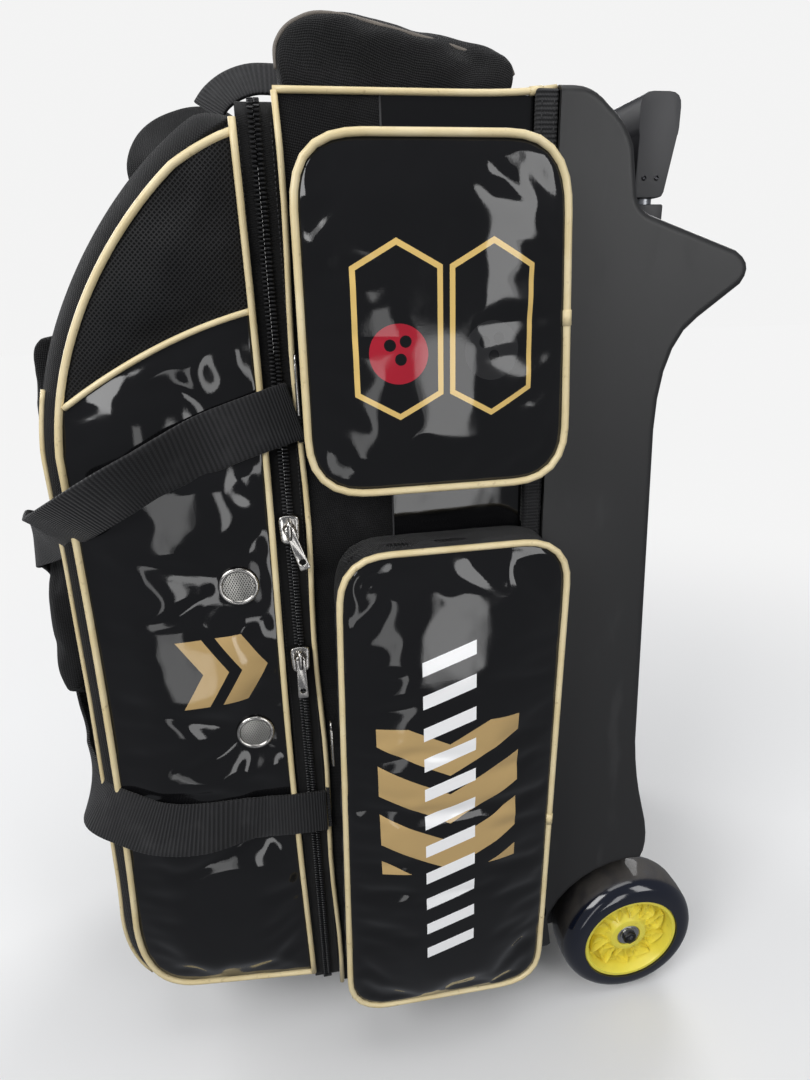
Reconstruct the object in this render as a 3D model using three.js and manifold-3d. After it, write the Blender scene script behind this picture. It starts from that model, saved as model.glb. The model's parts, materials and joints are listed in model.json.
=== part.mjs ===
// Upright three-ball roller bag: a moulded rear tray on two wheels carries a sewn bag whose deep front lid
// opens like a door. Millimetres, +Z up. While it is built, X = 0 is the wheel axle, Z = 0 is the ground and
// -X is the front; the outer group then centres the box over the origin.
import * as THREE from "three";
import { mergeVertices } from "three/addons/utils/BufferGeometryUtils.js";
import Module from "manifold-3d";

const wasm = await Module();
wasm.setup();

// Driving dimensions
const gap = 0.3; // between touching pieces
const ballRadius = 108;
const ballSpacing = 225;
const dishGap = 1.5; // between a ball and its dish
const lowestBallHeight = 170; // centre of the lowest ball
const ballX = -163; // balls stand this far in front of the axle

// The bag: its width is free, and its height follows the stack of balls
const bodyHalfWidth = 132;
const headroom = 13; // over the top ball
const bodyTop = lowestBallHeight + 2 * ballSpacing + ballRadius + headroom;
const bodyBottom = 50;
const panel = 4; // sewn side, top and bottom panels
const zipLine = -278; // middle of the zip
const zipHalf = 11; // half the width of the zip between the two panels
const teethWidth = 3; // of one row

const wheelRadius = 63.5;
const wheelWidth = 46;
const hubRadius = 45;
const hubSocket = 5; // wall round the bearings
const hubWeb = 8; // half the thickness of the web between boss and rim
const tyreShoulder = 11;
const tyreEase = 3.5; // cut off the middle of the shoulder
const tyreGap = 3; // between a tyre and the tray
const axleRadius = 4;
const bearingRadius = 11;
const bearingWidth = 7;
const archClearance = 14.5; // tray arch over the tyre
const axleShort = 6; // how far the axle stays inside the tyres
const nut = { radius: 6.5, thick: 4.2, inset: 1.5 };

const trayHalfWidth = bodyHalfWidth + 9; // covers the binding
const wheelOuterY = trayHalfWidth + 17;
const railInnerY = wheelOuterY - wheelWidth - tyreGap; // inner face of the side rails and fins
const trayWall = 3;
const trayFront = -98;
const trayTop = bodyTop + 5;
const trayRecess = -33; // outer face of the recessed rear wall
const trayBottom = 45;
const trayHeel = 7; // the rails start this far above the bottom
const archEnd = 0.15; // the arch stops short of a quarter turn at its top, in radians
const archTuck = 0.2; // its lower end lies this far under the heel
const spurReach = 43; // how far the spur tips reach behind the axle
const spurHeight = trayTop - 104;

const bindingWidth = 14;
const bindingInset = 3; // the binding stops short of the tray's side
const bindingLow = 60;

const cradleHalfWidth = railInnerY - 5;

const lidFront = 138; // depth of the lid in front of the zip, on its side panel
const lidPadding = 12; // padded front band, proud of the side panels
const lidBandY = bodyHalfWidth - 12;

const upperPocket = { front: -263, rear: -101, low: bodyTop - 227, high: bodyTop - 27, corner: 36 };
const lowerPocket = { front: -250, rear: -90, low: 54, high: bodyTop - 262, corner: 34, lean: 16 };
const pocketDepth = 43;
const pouch = {
  front: -264,
  rear: -118,
  high: bodyTop + 41,
  rearHigh: bodyTop + 22,
  halfWidth: bodyHalfWidth - 10,
};
const frontPocket = {
  low: bodyTop - 403,
  high: bodyTop - 130,
  halfWidth: bodyHalfWidth - 40,
  reach: zipLine - lidFront - 44,
};

const footHeight = bodyBottom - gap;
const footRadius = 15;
const footX = -238;
const footY = bodyHalfWidth - 34;

const tubeX = -19;
const tubeY = railInnerY - 14;
const slideRadius = 7.5;
const slideFit = 0.5; // between a sliding tube and its guide
const guideWall = 1.5;
const guideLow = 320;
const bridgeTop = spurHeight + 30;
const bridgeThick = 14;
const collarHeight = 12;
const gripLow = bridgeTop + 16;
const gripTop = gripLow + 60;
const gripWall = 11; // the grip's legs, on each side of the tubes
const gripHalfWidth = tubeY + gripWall;
const gripDepth = 29;
const buttonTravel = 4;

const webbingWidth = 38;
const webbingThick = 3;
const strapUpper = bodyTop - 181; // anchor heights on the body side
const strapLower = bodyTop - 496;
const strapFrontHeights = { upper: strapUpper - 52, lower: strapLower + 35 }; // at the lid's front
const strapClear = 1.5; // between a strap and the front pocket
const strapX = -268;

const ventX = -316;
const ventHeights = [strapUpper - 118, strapLower + 77];
const ventRadius = 14;
const sliderHeights = { upper: bodyTop - 259, lower: bodyTop - 359 };
const pullLength = 30;
const pullLean = 0.3; // the upper pull lies turned towards the pockets, in radians

const bodyFront = zipLine + zipHalf;
const lidRear = zipLine - zipHalf;

// Materials
const finish = (color, roughness, metalness = 0) =>
  new THREE.MeshStandardMaterial({ color, roughness, metalness });
const looks = {
  patent: finish(0x0b0b0d, 0.12),
  nylon: finish(0x17171a, 0.8),
  plastic: finish(0x2c2c2e, 0.45),
  webbing: finish(0x232326, 0.85),
  foam: finish(0x3c3c40, 0.95),
  urethane: finish(0x10131d, 0.15),
  yellow: finish(0xf2e24a, 0.35),
  steel: finish(0xb9bcc0, 0.3, 1),
  chain: finish(0x0d0d0e, 0.35, 0.3),
};

const bag = new THREE.Group();

function add(name, geometry, material, parent = bag) {
  const mesh = new THREE.Mesh(geometry, material);
  mesh.name = name;
  parent.add(mesh);
  return mesh;
}

// Booleans
function solid(geometry) {
  const bare = geometry.clone();
  for (const name of ["normal", "uv"]) bare.deleteAttribute(name);
  const merged = mergeVertices(bare, 1e-3);
  return new wasm.Manifold(
    new wasm.Mesh({
      numProp: 3,
      vertProperties: merged.attributes.position.array,
      triVerts: new Uint32Array(merged.index.array),
    }),
  );
}

function surface(manifold) {
  const mesh = manifold.getMesh();
  const geometry = new THREE.BufferGeometry();
  geometry.setAttribute("position", new THREE.BufferAttribute(mesh.vertProperties, 3));
  geometry.setIndex(new THREE.BufferAttribute(mesh.triVerts, 1));
  geometry.computeVertexNormals();
  return geometry;
}

const joined = (...parts) => surface(parts.map(solid).reduce((a, b) => a.add(b)));
const cut = (part, ...tools) =>
  surface(tools.map(solid).reduce((a, b) => a.subtract(b), solid(part)));

// Shapes
function box(x0, x1, y0, y1, z0, z1) {
  const block = new THREE.BoxGeometry(x1 - x0, y1 - y0, z1 - z0);
  return block.translate((x0 + x1) / 2, (y0 + y1) / 2, (z0 + z1) / 2);
}

// An outline in X and Z, from y0 to y1
function slab(points, y0, y1) {
  const shape = new THREE.Shape(points);
  const block = new THREE.ExtrudeGeometry(shape, { depth: y1 - y0, bevelEnabled: false });
  return block.rotateX(Math.PI / 2).translate(0, y1, 0);
}

// The same outline on one side of the bag: side is -1 for left, 1 for right
const sideSlab = (points, side, near, far) =>
  side < 0 ? slab(points, -far, -near) : slab(points, near, far);

const sideBox = (side, x0, x1, near, far, z0, z1) =>
  side < 0 ? box(x0, x1, -far, -near, z0, z1) : box(x0, x1, near, far, z0, z1);

function cylinderY(radius, y0, y1, segments = 32) {
  return new THREE.CylinderGeometry(radius, radius, y1 - y0, segments).translate(0, (y0 + y1) / 2, 0);
}

function cylinderZ(radius, z0, z1, segments = 24) {
  const rod = new THREE.CylinderGeometry(radius, radius, z1 - z0, segments).rotateX(Math.PI / 2);
  return rod.translate(0, 0, (z0 + z1) / 2);
}

// A ring about the Y axis, from an outline of [radius, y] that goes up its outer side
function turned(outline, segments = 36) {
  const closed = [...outline, outline[0]].map(([r, y]) => new THREE.Vector2(r, y));
  return new THREE.LatheGeometry(closed, segments);
}

// Four corners, each rounded, counterclockwise
function rounded(corners, radius, steps = 5) {
  const path = new THREE.Path();
  const count = corners.length;
  corners.forEach((corner, i) => {
    const here = new THREE.Vector2(...corner);
    const before = new THREE.Vector2(...corners[(i + count - 1) % count]);
    const after = new THREE.Vector2(...corners[(i + 1) % count]);
    const start = here.clone().add(before.sub(here).setLength(radius));
    const end = here.clone().add(after.sub(here).setLength(radius));
    if (i === 0) path.moveTo(start.x, start.y);
    else path.lineTo(start.x, start.y);
    path.quadraticCurveTo(here.x, here.y, end.x, end.y);
  });
  return path.getPoints(steps);
}

// Moves each point of an open or closed line sideways: a positive distance goes to its right
function offset(points, distance, isClosed) {
  const last = points.length - 1;
  return points.map((point, i) => {
    const before = points[isClosed ? (i + last) % (last + 1) : Math.max(i - 1, 0)];
    const after = points[isClosed ? (i + 1) % (last + 1) : Math.min(i + 1, last)];
    const into = point.clone().sub(before).normalize();
    const out = after.clone().sub(point).normalize();
    if (!into.length()) into.copy(out);
    if (!out.length()) out.copy(into);
    const turn = into.clone().add(out).normalize();
    const stretch = distance / Math.max(turn.dot(into), 0.5);
    return new THREE.Vector2(point.x + turn.y * stretch, point.y - turn.x * stretch);
  });
}

// Consecutive points that are the same are dropped
const distinct = (points) =>
  points.filter((p, i) => p.distanceTo(points[(i + points.length - 1) % points.length]) > 0.05);

// ---- Rear tray
function trayFrontEdge(path) {
  path.moveTo(trayFront, trayTop);
  path.lineTo(trayFront, trayBottom + trayHeel);
}

// The rounded top of the tray, from above the spur back to the front edge
function trayCrown(path) {
  path.lineTo(-48, spurHeight + 72);
  path.quadraticCurveTo(-54, spurHeight + 86, -66, spurHeight + 94);
  path.quadraticCurveTo(-76, trayTop, -88, trayTop);
}

// The rear edge between the arch and the spur leans back towards the wheels
function trayRailOutline() {
  const arch = wheelRadius + archClearance;
  const path = new THREE.Path();
  const heel = trayBottom + trayHeel;
  const archStart = (wheelRadius - heel + archTuck) / arch;
  trayFrontEdge(path);
  path.lineTo(-Math.sqrt(arch ** 2 - (wheelRadius - heel) ** 2), heel);
  path.absarc(0, wheelRadius, arch, Math.PI + archStart, Math.PI / 2 - archEnd, true);
  path.quadraticCurveTo(20, wheelRadius + 95, 9, 196);
  path.quadraticCurveTo(-4, 240, -6, 290);
  path.lineTo(-16, spurHeight - 107);
  path.quadraticCurveTo(-17, spurHeight - 48, 8, spurHeight - 32);
  path.lineTo(spurReach - 6, spurHeight - 11);
  path.quadraticCurveTo(spurReach + 4, spurHeight + 2, spurReach - 12, spurHeight + 11);
  path.lineTo(-33, spurHeight + 33);
  path.quadraticCurveTo(-43, spurHeight + 37, -44, spurHeight + 48);
  trayCrown(path);
  return distinct(path.getPoints(5));
}

function trayCentreOutline() {
  const path = new THREE.Path();
  trayFrontEdge(path);
  path.lineTo(trayFront, trayBottom);
  path.lineTo(-12, trayBottom);
  path.quadraticCurveTo(15, trayBottom + 5, 15, 90);
  path.lineTo(15, 165);
  path.lineTo(trayRecess, 215);
  path.lineTo(trayRecess, spurHeight - 27);
  path.lineTo(-45, spurHeight - 2);
  trayCrown(path);
  return distinct(path.getPoints(5));
}

// The inner outline, carried out through the open front
const hollowOf = (outline) =>
  offset(outline, -trayWall, true).map((p) =>
    p.x < trayFront + 2 * trayWall ? new THREE.Vector2(trayFront - 12, p.y) : p,
  );

function makeTray() {
  const rail = trayRailOutline();
  const centre = trayCentreOutline();
  const shell = [slab(centre, -railInnerY - 1, railInnerY + 1)];
  const hollows = [
    slab(hollowOf(centre), -railInnerY + trayWall, railInnerY - trayWall),
    box(trayFront - 12, -52, -trayHalfWidth + trayWall, trayHalfWidth - trayWall, 152, trayTop - 44),
    cylinderY(axleRadius + gap, -trayHalfWidth, trayHalfWidth, 24).translate(0, 0, wheelRadius),
  ];
  for (const side of [-1, 1]) {
    shell.push(sideSlab(rail, side, railInnerY, trayHalfWidth));
    hollows.push(sideSlab(hollowOf(rail), side, railInnerY + trayWall, trayHalfWidth - trayWall));
  }
  return cut(joined(...shell), ...hollows);
}
add("base_tray", makeTray(), looks.plastic);

// Woven binding that joins the bag to the tray
function makeBinding() {
  const edge = [trayFront - bindingWidth, trayFront - gap];
  const out = trayHalfWidth - bindingInset;
  const top = trayTop - 2;
  const strips = [-1, 1].map((side) =>
    sideBox(side, ...edge, bodyHalfWidth + gap, out, bindingLow, top),
  );
  return joined(...strips, box(...edge, -out, out, bodyTop + gap, top));
}
add("tray_binding", makeBinding(), looks.webbing);

// Foam cradle with a dish for each ball
function makeCradle() {
  const across = [-cradleHalfWidth, cradleHalfWidth];
  const backing = slab(offset(trayCentreOutline(), -trayWall - 2 * gap, true), ...across);
  const block = solid(backing).intersect(
    solid(box(trayFront + 10, -30, ...across, bindingLow, trayTop - 16)),
  );
  const dishes = [0, 1, 2].map((i) =>
    new THREE.SphereGeometry(ballRadius + dishGap, 28, 18).translate(
      ballX,
      0,
      lowestBallHeight + i * ballSpacing,
    ),
  );
  return cut(surface(block), ...dishes);
}
add("ball_cradle", makeCradle(), looks.foam);

// ---- Bag body
for (const [name, side] of [["left", -1], ["right", 1]]) {
  const depth = [bodyHalfWidth - panel, bodyHalfWidth];
  add(
    "body_side_" + name,
    sideBox(side, bodyFront + gap, trayFront - gap, ...depth, bodyBottom, bodyTop),
    looks.patent,
  );
  const upper = rounded(
    [
      [upperPocket.front, upperPocket.low],
      [upperPocket.rear + 4, upperPocket.low],
      [upperPocket.rear - 4, upperPocket.high],
      [upperPocket.front + 2, upperPocket.high],
    ],
    upperPocket.corner,
  );
  const lower = rounded(
    [
      [lowerPocket.front - lowerPocket.lean, lowerPocket.low + 4],
      [lowerPocket.rear - 8, lowerPocket.low],
      [lowerPocket.rear, lowerPocket.high],
      [lowerPocket.front, lowerPocket.high],
    ],
    lowerPocket.corner,
  );
  const out = [bodyHalfWidth + gap, bodyHalfWidth + pocketDepth];
  const overBinding = [trayFront - bindingWidth - 1, 0];
  const clear = sideBox(side, ...overBinding, bodyHalfWidth, trayHalfWidth + gap, 0, trayTop + 1);
  add("upper_pocket_" + name, cut(sideSlab(upper, side, ...out), clear), looks.patent);
  add("lower_pocket_" + name, cut(sideSlab(lower, side, ...out), clear), looks.patent);
}
const innerY = bodyHalfWidth - panel - gap;
add(
  "body_top",
  box(bodyFront + gap, trayFront - gap, -innerY, innerY, bodyTop - panel, bodyTop),
  looks.nylon,
);
add(
  "body_bottom",
  box(bodyFront + gap, trayFront - gap, -innerY, innerY, bodyBottom, bodyBottom + panel),
  looks.nylon,
);
for (const [name, side] of [["left", -1], ["right", 1]]) {
  const foot = new THREE.CylinderGeometry(footRadius, footRadius - 3, footHeight, 24);
  foot.rotateX(Math.PI / 2).translate(footX, side * footY, footHeight / 2);
  add("front_foot_" + name, foot, looks.plastic);
}

// Wedge-shaped pouch on the top panel
function pouchOutline() {
  const path = new THREE.Path();
  const base = bodyTop + gap;
  path.moveTo(pouch.front + 4, base);
  path.lineTo(pouch.rear - 6, base);
  path.quadraticCurveTo(pouch.rear + 2, base + 14, pouch.rear - 2, pouch.rearHigh - 2);
  path.quadraticCurveTo(pouch.rear - 8, pouch.rearHigh + 3, pouch.rear - 22, pouch.rearHigh + 4);
  path.lineTo(pouch.front + 42, pouch.high);
  path.quadraticCurveTo(pouch.front + 6, pouch.high + 3, pouch.front, pouch.high - 20);
  return distinct(path.getPoints(5));
}
add("top_pouch", slab(pouchOutline(), -pouch.halfWidth, pouch.halfWidth), looks.nylon);

// ---- Zip: two halves, each a tape with a row of teeth along the left side. The tape runs on over the
// top, under the bottom and down the right side, where the two halves meet as the lid's fabric hinge
function zipHalfSolid(edge, teeth) {
  const [x0, x1] = edge;
  const [t0, t1] = teeth;
  const y = bodyHalfWidth - 1;
  const low = bodyBottom + 2;
  const high = bodyTop - 2;
  return joined(
    box(x0, x1, -y, -y + 2, low, high),
    box(t0, t1, -y - 1.2, -y + 1, low, high),
    box(x0, x1, -y, y, high - 2, high),
    box(x0, x1, -y, y, low, low + 2),
    box(x0, x1, y - 2, y, low, high),
  );
}
add(
  "zip_body_half",
  zipHalfSolid([zipLine + gap, bodyFront - gap], [zipLine + gap, zipLine + teethWidth]),
  looks.chain,
);

for (const [name, height, turn] of [
  ["upper", sliderHeights.upper, pullLean],
  ["lower", sliderHeights.lower, 0],
]) {
  const outer = -(bodyHalfWidth + 6.2);
  add(
    "zip_slider_" + name,
    slab(
      rounded(
        [
          [zipLine - 6, height - 10],
          [zipLine + 6, height - 10],
          [zipLine + 7, height + 10],
          [zipLine - 7, height + 10],
        ],
        4,
        3,
      ),
      outer,
      -(bodyHalfWidth + 0.8),
    ),
    looks.steel,
  );
  const pull = slab(
    rounded([[-3, 1.4], [-3.8, -pullLength], [3.8, -pullLength], [3, 1.4]].reverse(), 1.2, 2),
    -1,
    1,
  );
  const hole = cylinderY(2.2, -2, 2, 12).translate(0, 0, 6 - pullLength);
  const tab = add("zip_pull_" + name, cut(pull, hole), looks.steel);
  tab.rotation.y = -turn;
  tab.position.set(zipLine, outer - 2.4, height);
}

// Pocket zip pulls: at the front edge of the left pockets, at the rear edge of the right ones
for (const [level, pocket, height] of [
  ["upper", upperPocket, upperPocket.low + 78],
  ["lower", lowerPocket, lowerPocket.high - 149],
]) {
  const y = bodyHalfWidth + pocketDepth / 2;
  const tab = (x, side) =>
    box(x - 1, x + 1, side * y - 4, side * y + 4, height - pullLength, height + 1.5);
  const frontX = pocket.front - 3 - (pocket.lean ?? 0) * 0.45;
  add("pocket_pull_" + level + "_left", tab(frontX, -1), looks.steel);
  add("pocket_pull_" + level + "_right", tab(pocket.rear + 4.5, 1), looks.steel);
}

// ---- Lid
const lid = new THREE.Group();
bag.add(lid);

// Edge of the lid's side panel, from the top of the zip over the front to the bottom of the zip
function lidEdge() {
  const front = zipLine - lidFront;
  const top = bodyTop - lidPadding - gap;
  const low = bodyBottom + 4 + lidPadding;
  const path = new THREE.Path();
  path.moveTo(lidRear, top);
  path.lineTo(lidRear - 8, top - 4);
  path.bezierCurveTo(front + 72, bodyTop - 43, front + 9, bodyTop - 113, front, bodyTop - 201);
  path.quadraticCurveTo(front, strapFrontHeights.lower + 50, front - 12, strapLower - 95);
  path.quadraticCurveTo(front - 14, low + 16, front + 30, low + 12);
  path.lineTo(lidRear, low);
  return path.getPoints(9);
}
const edge = lidEdge();
const innerEdge = offset(edge, gap, false);
const thinEdge = offset(edge, panel, false);
const outerEdge = offset(edge, lidPadding, false);

for (const [name, side] of [["left", -1], ["right", 1]]) {
  add(
    "lid_side_" + name,
    sideSlab([...edge].reverse(), side, bodyHalfWidth - panel, bodyHalfWidth),
    looks.patent,
    lid,
  );
  for (const [i, height] of ventHeights.entries()) {
    const vent = turned([[ventRadius, 0], [ventRadius - 1, 2.4], [2, 2.4], [2, 0]], 24);
    if (side < 0) vent.rotateX(Math.PI);
    vent.translate(ventX, side * (bodyHalfWidth + gap), height);
    add("vent_" + (i ? "lower_" : "upper_") + name, vent, looks.steel, lid);
  }
}
const band = (outer, halfWidth) =>
  slab([...outer, ...[...innerEdge].reverse()].reverse(), -halfWidth, halfWidth);
const padding = joined(band(thinEdge, bodyHalfWidth), band(outerEdge, lidBandY));
const beforeZip = box(-600, lidRear, -200, 200, 0, bodyTop);
add("lid_front", surface(solid(padding).intersect(solid(beforeZip))), looks.nylon, lid);
add(
  "zip_lid_half",
  zipHalfSolid([lidRear + gap, zipLine - gap], [zipLine - teethWidth, zipLine - gap]),
  looks.chain,
  lid,
);

// Full pocket on the lid's front, against the padded band
function frontPocketOutline() {
  const backing = offset(edge, lidPadding + gap, false).filter(
    (p) => p.x < lidRear - 60 && p.y > frontPocket.low && p.y < frontPocket.high,
  );
  const path = new THREE.Path();
  const { low, high, reach } = frontPocket;
  path.moveTo(reach + 16, low);
  path.quadraticCurveTo(reach, low + 2, reach, low + 30);
  path.quadraticCurveTo(reach + 1, low + 90, reach + 13, low + 130);
  path.lineTo(reach + 26, high - 16);
  path.quadraticCurveTo(reach + 29, high, reach + 38, high);
  return distinct([...path.getPoints(4), ...backing]).reverse();
}
add(
  "front_pocket",
  slab(frontPocketOutline(), -frontPocket.halfWidth, frontPocket.halfWidth),
  looks.nylon,
  lid,
);

// Haul loop that stands over the sloping top of the lid
function loopOutline() {
  const path = new THREE.Path();
  path.moveTo(lidRear - 9, bodyTop - 6);
  path.lineTo(lidRear - 13, bodyTop + 12);
  path.quadraticCurveTo(lidRear - 16, bodyTop + 17, lidRear - 24, bodyTop + 16);
  path.lineTo(lidRear - 62, bodyTop + 7);
  path.quadraticCurveTo(lidRear - 77, bodyTop + 1, lidRear - 78, bodyTop - 18);
  path.lineTo(lidRear - 73, bodyTop - 40);
  const line = distinct(path.getPoints(4));
  const thick = offset(line, webbingThick, false);
  return [...line, ...thick.reverse()];
}
const bandSolid = solid(band(offset(edge, lidPadding + gap, false), 200));
add(
  "haul_loop",
  surface(solid(slab(loopOutline().reverse(), -20, 20)).subtract(bandSolid)),
  looks.webbing,
  lid,
);

// ---- Carry straps: each is one loop from two anchors on the body side, round the front edge of the lid
const strapFront = frontPocket.reach - webbingThick / 2 - strapClear;

function strapLeg(anchorHeight, frontHeight) {
  const front = strapFront;
  const side = -(bodyHalfWidth + 1 + webbingThick / 2);
  const path = new THREE.Path();
  path.moveTo(strapX, side);
  path.lineTo(zipLine - lidFront - 6, side);
  path.quadraticCurveTo(front + 12, side + 4, front + 4, side + 36);
  path.quadraticCurveTo(front, side + 55, front, side + 80);
  path.lineTo(front, -2);
  const line = distinct(path.getPoints(5));
  const half = webbingThick / 2;
  const outline = [...offset(line, half, false), ...offset(line, -half, false).reverse()];
  const leg = new THREE.ExtrudeGeometry(new THREE.Shape(outline), {
    depth: webbingWidth,
    bevelEnabled: false,
  });
  const place = leg.attributes.position;
  const reach = strapX - (zipLine - lidFront);
  for (let i = 0; i < place.count; i++) {
    const along = THREE.MathUtils.clamp((strapX - place.getX(i)) / reach, 0, 1.25);
    place.setZ(i, place.getZ(i) + anchorHeight - webbingWidth / 2 + (frontHeight - anchorHeight) * along);
  }
  return leg;
}

function makeStrap() {
  const half = webbingThick / 2;
  const { upper, lower } = strapFrontHeights;
  const grip = box(
    strapFront - half,
    strapFront + half,
    -2 - webbingWidth,
    -2,
    lower + 10,
    upper - 8,
  );
  return joined(strapLeg(strapUpper, upper), strapLeg(strapLower, lower), grip);
}
add("carry_strap_left", makeStrap(), looks.webbing);
const farStrap = surface(
  solid(makeStrap()).mirror([0, 1, 0]).subtract(solid(box(lidRear, 0, 0, 300, 0, 900))),
);
add("carry_strap_right", farStrap, looks.webbing, lid);

for (const [name, side] of [["left", -1], ["right", 1]]) {
  add(
    "strap_anchor_" + name,
    joined(
      ...[strapUpper, strapLower].map((height) =>
        sideBox(
          side,
          strapX + 1,
          strapX + 3.8,
          bodyHalfWidth + gap,
          bodyHalfWidth + 4,
          height - webbingWidth / 2,
          height + webbingWidth / 2,
        ),
      ),
      sideBox(
        side,
        strapX + 1.6,
        strapX + 3.2,
        bodyHalfWidth + gap,
        bodyHalfWidth + 1.6,
        strapLower,
        strapUpper,
      ),
    ),
    looks.webbing,
  );
}

// ---- Wheels
const middle = wheelOuterY - wheelWidth / 2;
const half = wheelWidth / 2;
const axleEnd = wheelOuterY - axleShort;
add(
  "axle",
  cylinderY(axleRadius, -axleEnd, axleEnd, 20).translate(0, 0, wheelRadius),
  looks.steel,
);
for (const [name, side] of [["left", -1], ["right", 1]]) {
  const wheel = new THREE.Group();
  wheel.position.set(0, side * middle, wheelRadius);
  bag.add(wheel);
  add(
    "wheel_tyre_" + name,
    turned([
      [hubRadius + gap, -half],
      [wheelRadius - tyreShoulder, -half],
      [wheelRadius - tyreEase, -half + tyreEase],
      [wheelRadius, -half + tyreShoulder],
      [wheelRadius, half - tyreShoulder],
      [wheelRadius - tyreEase, half - tyreEase],
      [wheelRadius - tyreShoulder, half],
      [hubRadius + gap, half],
    ]),
    looks.urethane,
    wheel,
  );
  const rim = half - 2;
  const boss = half - hubSocket;
  add(
    "wheel_hub_" + name,
    turned([
      [hubRadius, -rim],
      [hubRadius, rim],
      [hubRadius - 4, rim],
      [hubRadius - 6, hubWeb],
      [bearingRadius + 7, hubWeb],
      [bearingRadius + hubSocket, boss],
      [bearingRadius + gap, boss],
      [bearingRadius + gap, -boss],
      [bearingRadius + hubSocket, -boss],
      [bearingRadius + 7, -hubWeb],
      [hubRadius - 6, -hubWeb],
      [hubRadius - 4, -rim],
    ]),
    looks.yellow,
    wheel,
  );
  for (const [place, y] of [["inner", -boss + 1], ["outer", boss - 1 - bearingWidth]]) {
    const ring = turned(
      [
        [bearingRadius, 0],
        [bearingRadius, bearingWidth],
        [axleRadius + gap, bearingWidth],
        [axleRadius + gap, 0],
      ],
      24,
    ).translate(0, y, 0);
    if (side < 0) ring.rotateX(Math.PI);
    add("bearing_" + place + "_" + name, ring, looks.steel, wheel);
  }
  const hex = cylinderY(nut.radius, -nut.thick / 2, nut.thick / 2, 6);
  const nutY = side * (wheelOuterY - nut.inset - nut.thick / 2);
  add("axle_nut_" + name, hex.translate(0, nutY, wheelRadius), looks.steel);
}

// ---- Pull handle
const guideRadius = slideRadius + slideFit + guideWall;
const holes = (radius) =>
  [-1, 1].map((side) => cylinderZ(radius, 0, 900).translate(tubeX, side * tubeY, 0));
const bridgeHoles = holes(guideRadius + gap);
const collarHoles = holes(slideRadius + slideFit);
add(
  "handle_bridge",
  cut(
    box(-44, -5, -railInnerY + gap, railInnerY - gap, bridgeTop - bridgeThick, bridgeTop),
    ...bridgeHoles,
  ),
  looks.plastic,
);
add(
  "tube_clamp",
  cut(
    box(trayRecess + gap, tubeX + guideRadius + 3, -railInnerY + gap, railInnerY - gap, 350, 366),
    ...bridgeHoles,
  ),
  looks.plastic,
);
const gripLength = bridgeTop - guideLow;
for (const [name, side] of [["left", -1], ["right", 1]]) {
  const place = [tubeX, side * tubeY, 0];
  add(
    "guide_tube_" + name,
    cut(cylinderZ(guideRadius, guideLow, bridgeTop), cylinderZ(slideRadius + slideFit, 0, 900)).translate(
      ...place,
    ),
    looks.steel,
  );
  add(
    "tube_collar_" + name,
    cut(
      box(
        tubeX - 12,
        tubeX + 12,
        side * tubeY - 11,
        side * tubeY + 11,
        bridgeTop + gap,
        bridgeTop + collarHeight,
      ),
      collarHoles[side < 0 ? 0 : 1],
    ),
    looks.plastic,
  );
  add(
    "slide_tube_" + name,
    cut(
      cylinderZ(slideRadius, gripLow - gap - gripLength + 9, gripLow - gap),
      cylinderZ(slideRadius - 1.2, 0, gripLow - 12),
    ).translate(...place),
    looks.steel,
  );
}

// Grip: a rounded bar on two legs, with a slot in its top for the release button
function makeGrip() {
  const back = tubeX + gripDepth / 2;
  const front = tubeX - gripDepth / 2;
  const barLow = gripTop - 30;
  const bar = rounded([[front, barLow], [back, barLow], [back, gripTop], [front, gripTop]], 9, 4);
  const legTop = barLow + 14;
  const legCorners = [[front + 4, gripLow], [back - 4, gripLow], [back, legTop], [front, legTop]];
  const leg = rounded(legCorners, 3, 2);
  const legs = [-1, 1].map((side) => sideSlab(leg, side, tubeY - gripWall, gripHalfWidth));
  const slot = box(tubeX - 7, tubeX + 7, -17, 17, gripTop - 14, gripTop + 1);
  return cut(joined(slab(bar, -gripHalfWidth, gripHalfWidth), ...legs), slot);
}
add("handle_grip", makeGrip(), looks.plastic);
add(
  "release_button",
  slab(
    rounded(
      [
        [tubeX - 6.5, gripTop - 13.5 + buttonTravel],
        [tubeX + 6.5, gripTop - 13.5 + buttonTravel],
        [tubeX + 6.5, gripTop + 1.5],
        [tubeX - 6.5, gripTop + 1.5],
      ],
      2.5,
      2,
    ),
    -16.5,
    16.5,
  ),
  looks.plastic,
);

// ---- The box of the whole is centred over the origin
const frontMost = strapFront - webbingThick / 2;
const rearMost = Math.max(wheelRadius, spurReach);
bag.position.x = -(frontMost + rearMost) / 2;
const product = new THREE.Group();
product.add(bag);

export default product;
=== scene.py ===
import json
import math

import bpy
from mathutils import Matrix, Vector, noise

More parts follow.
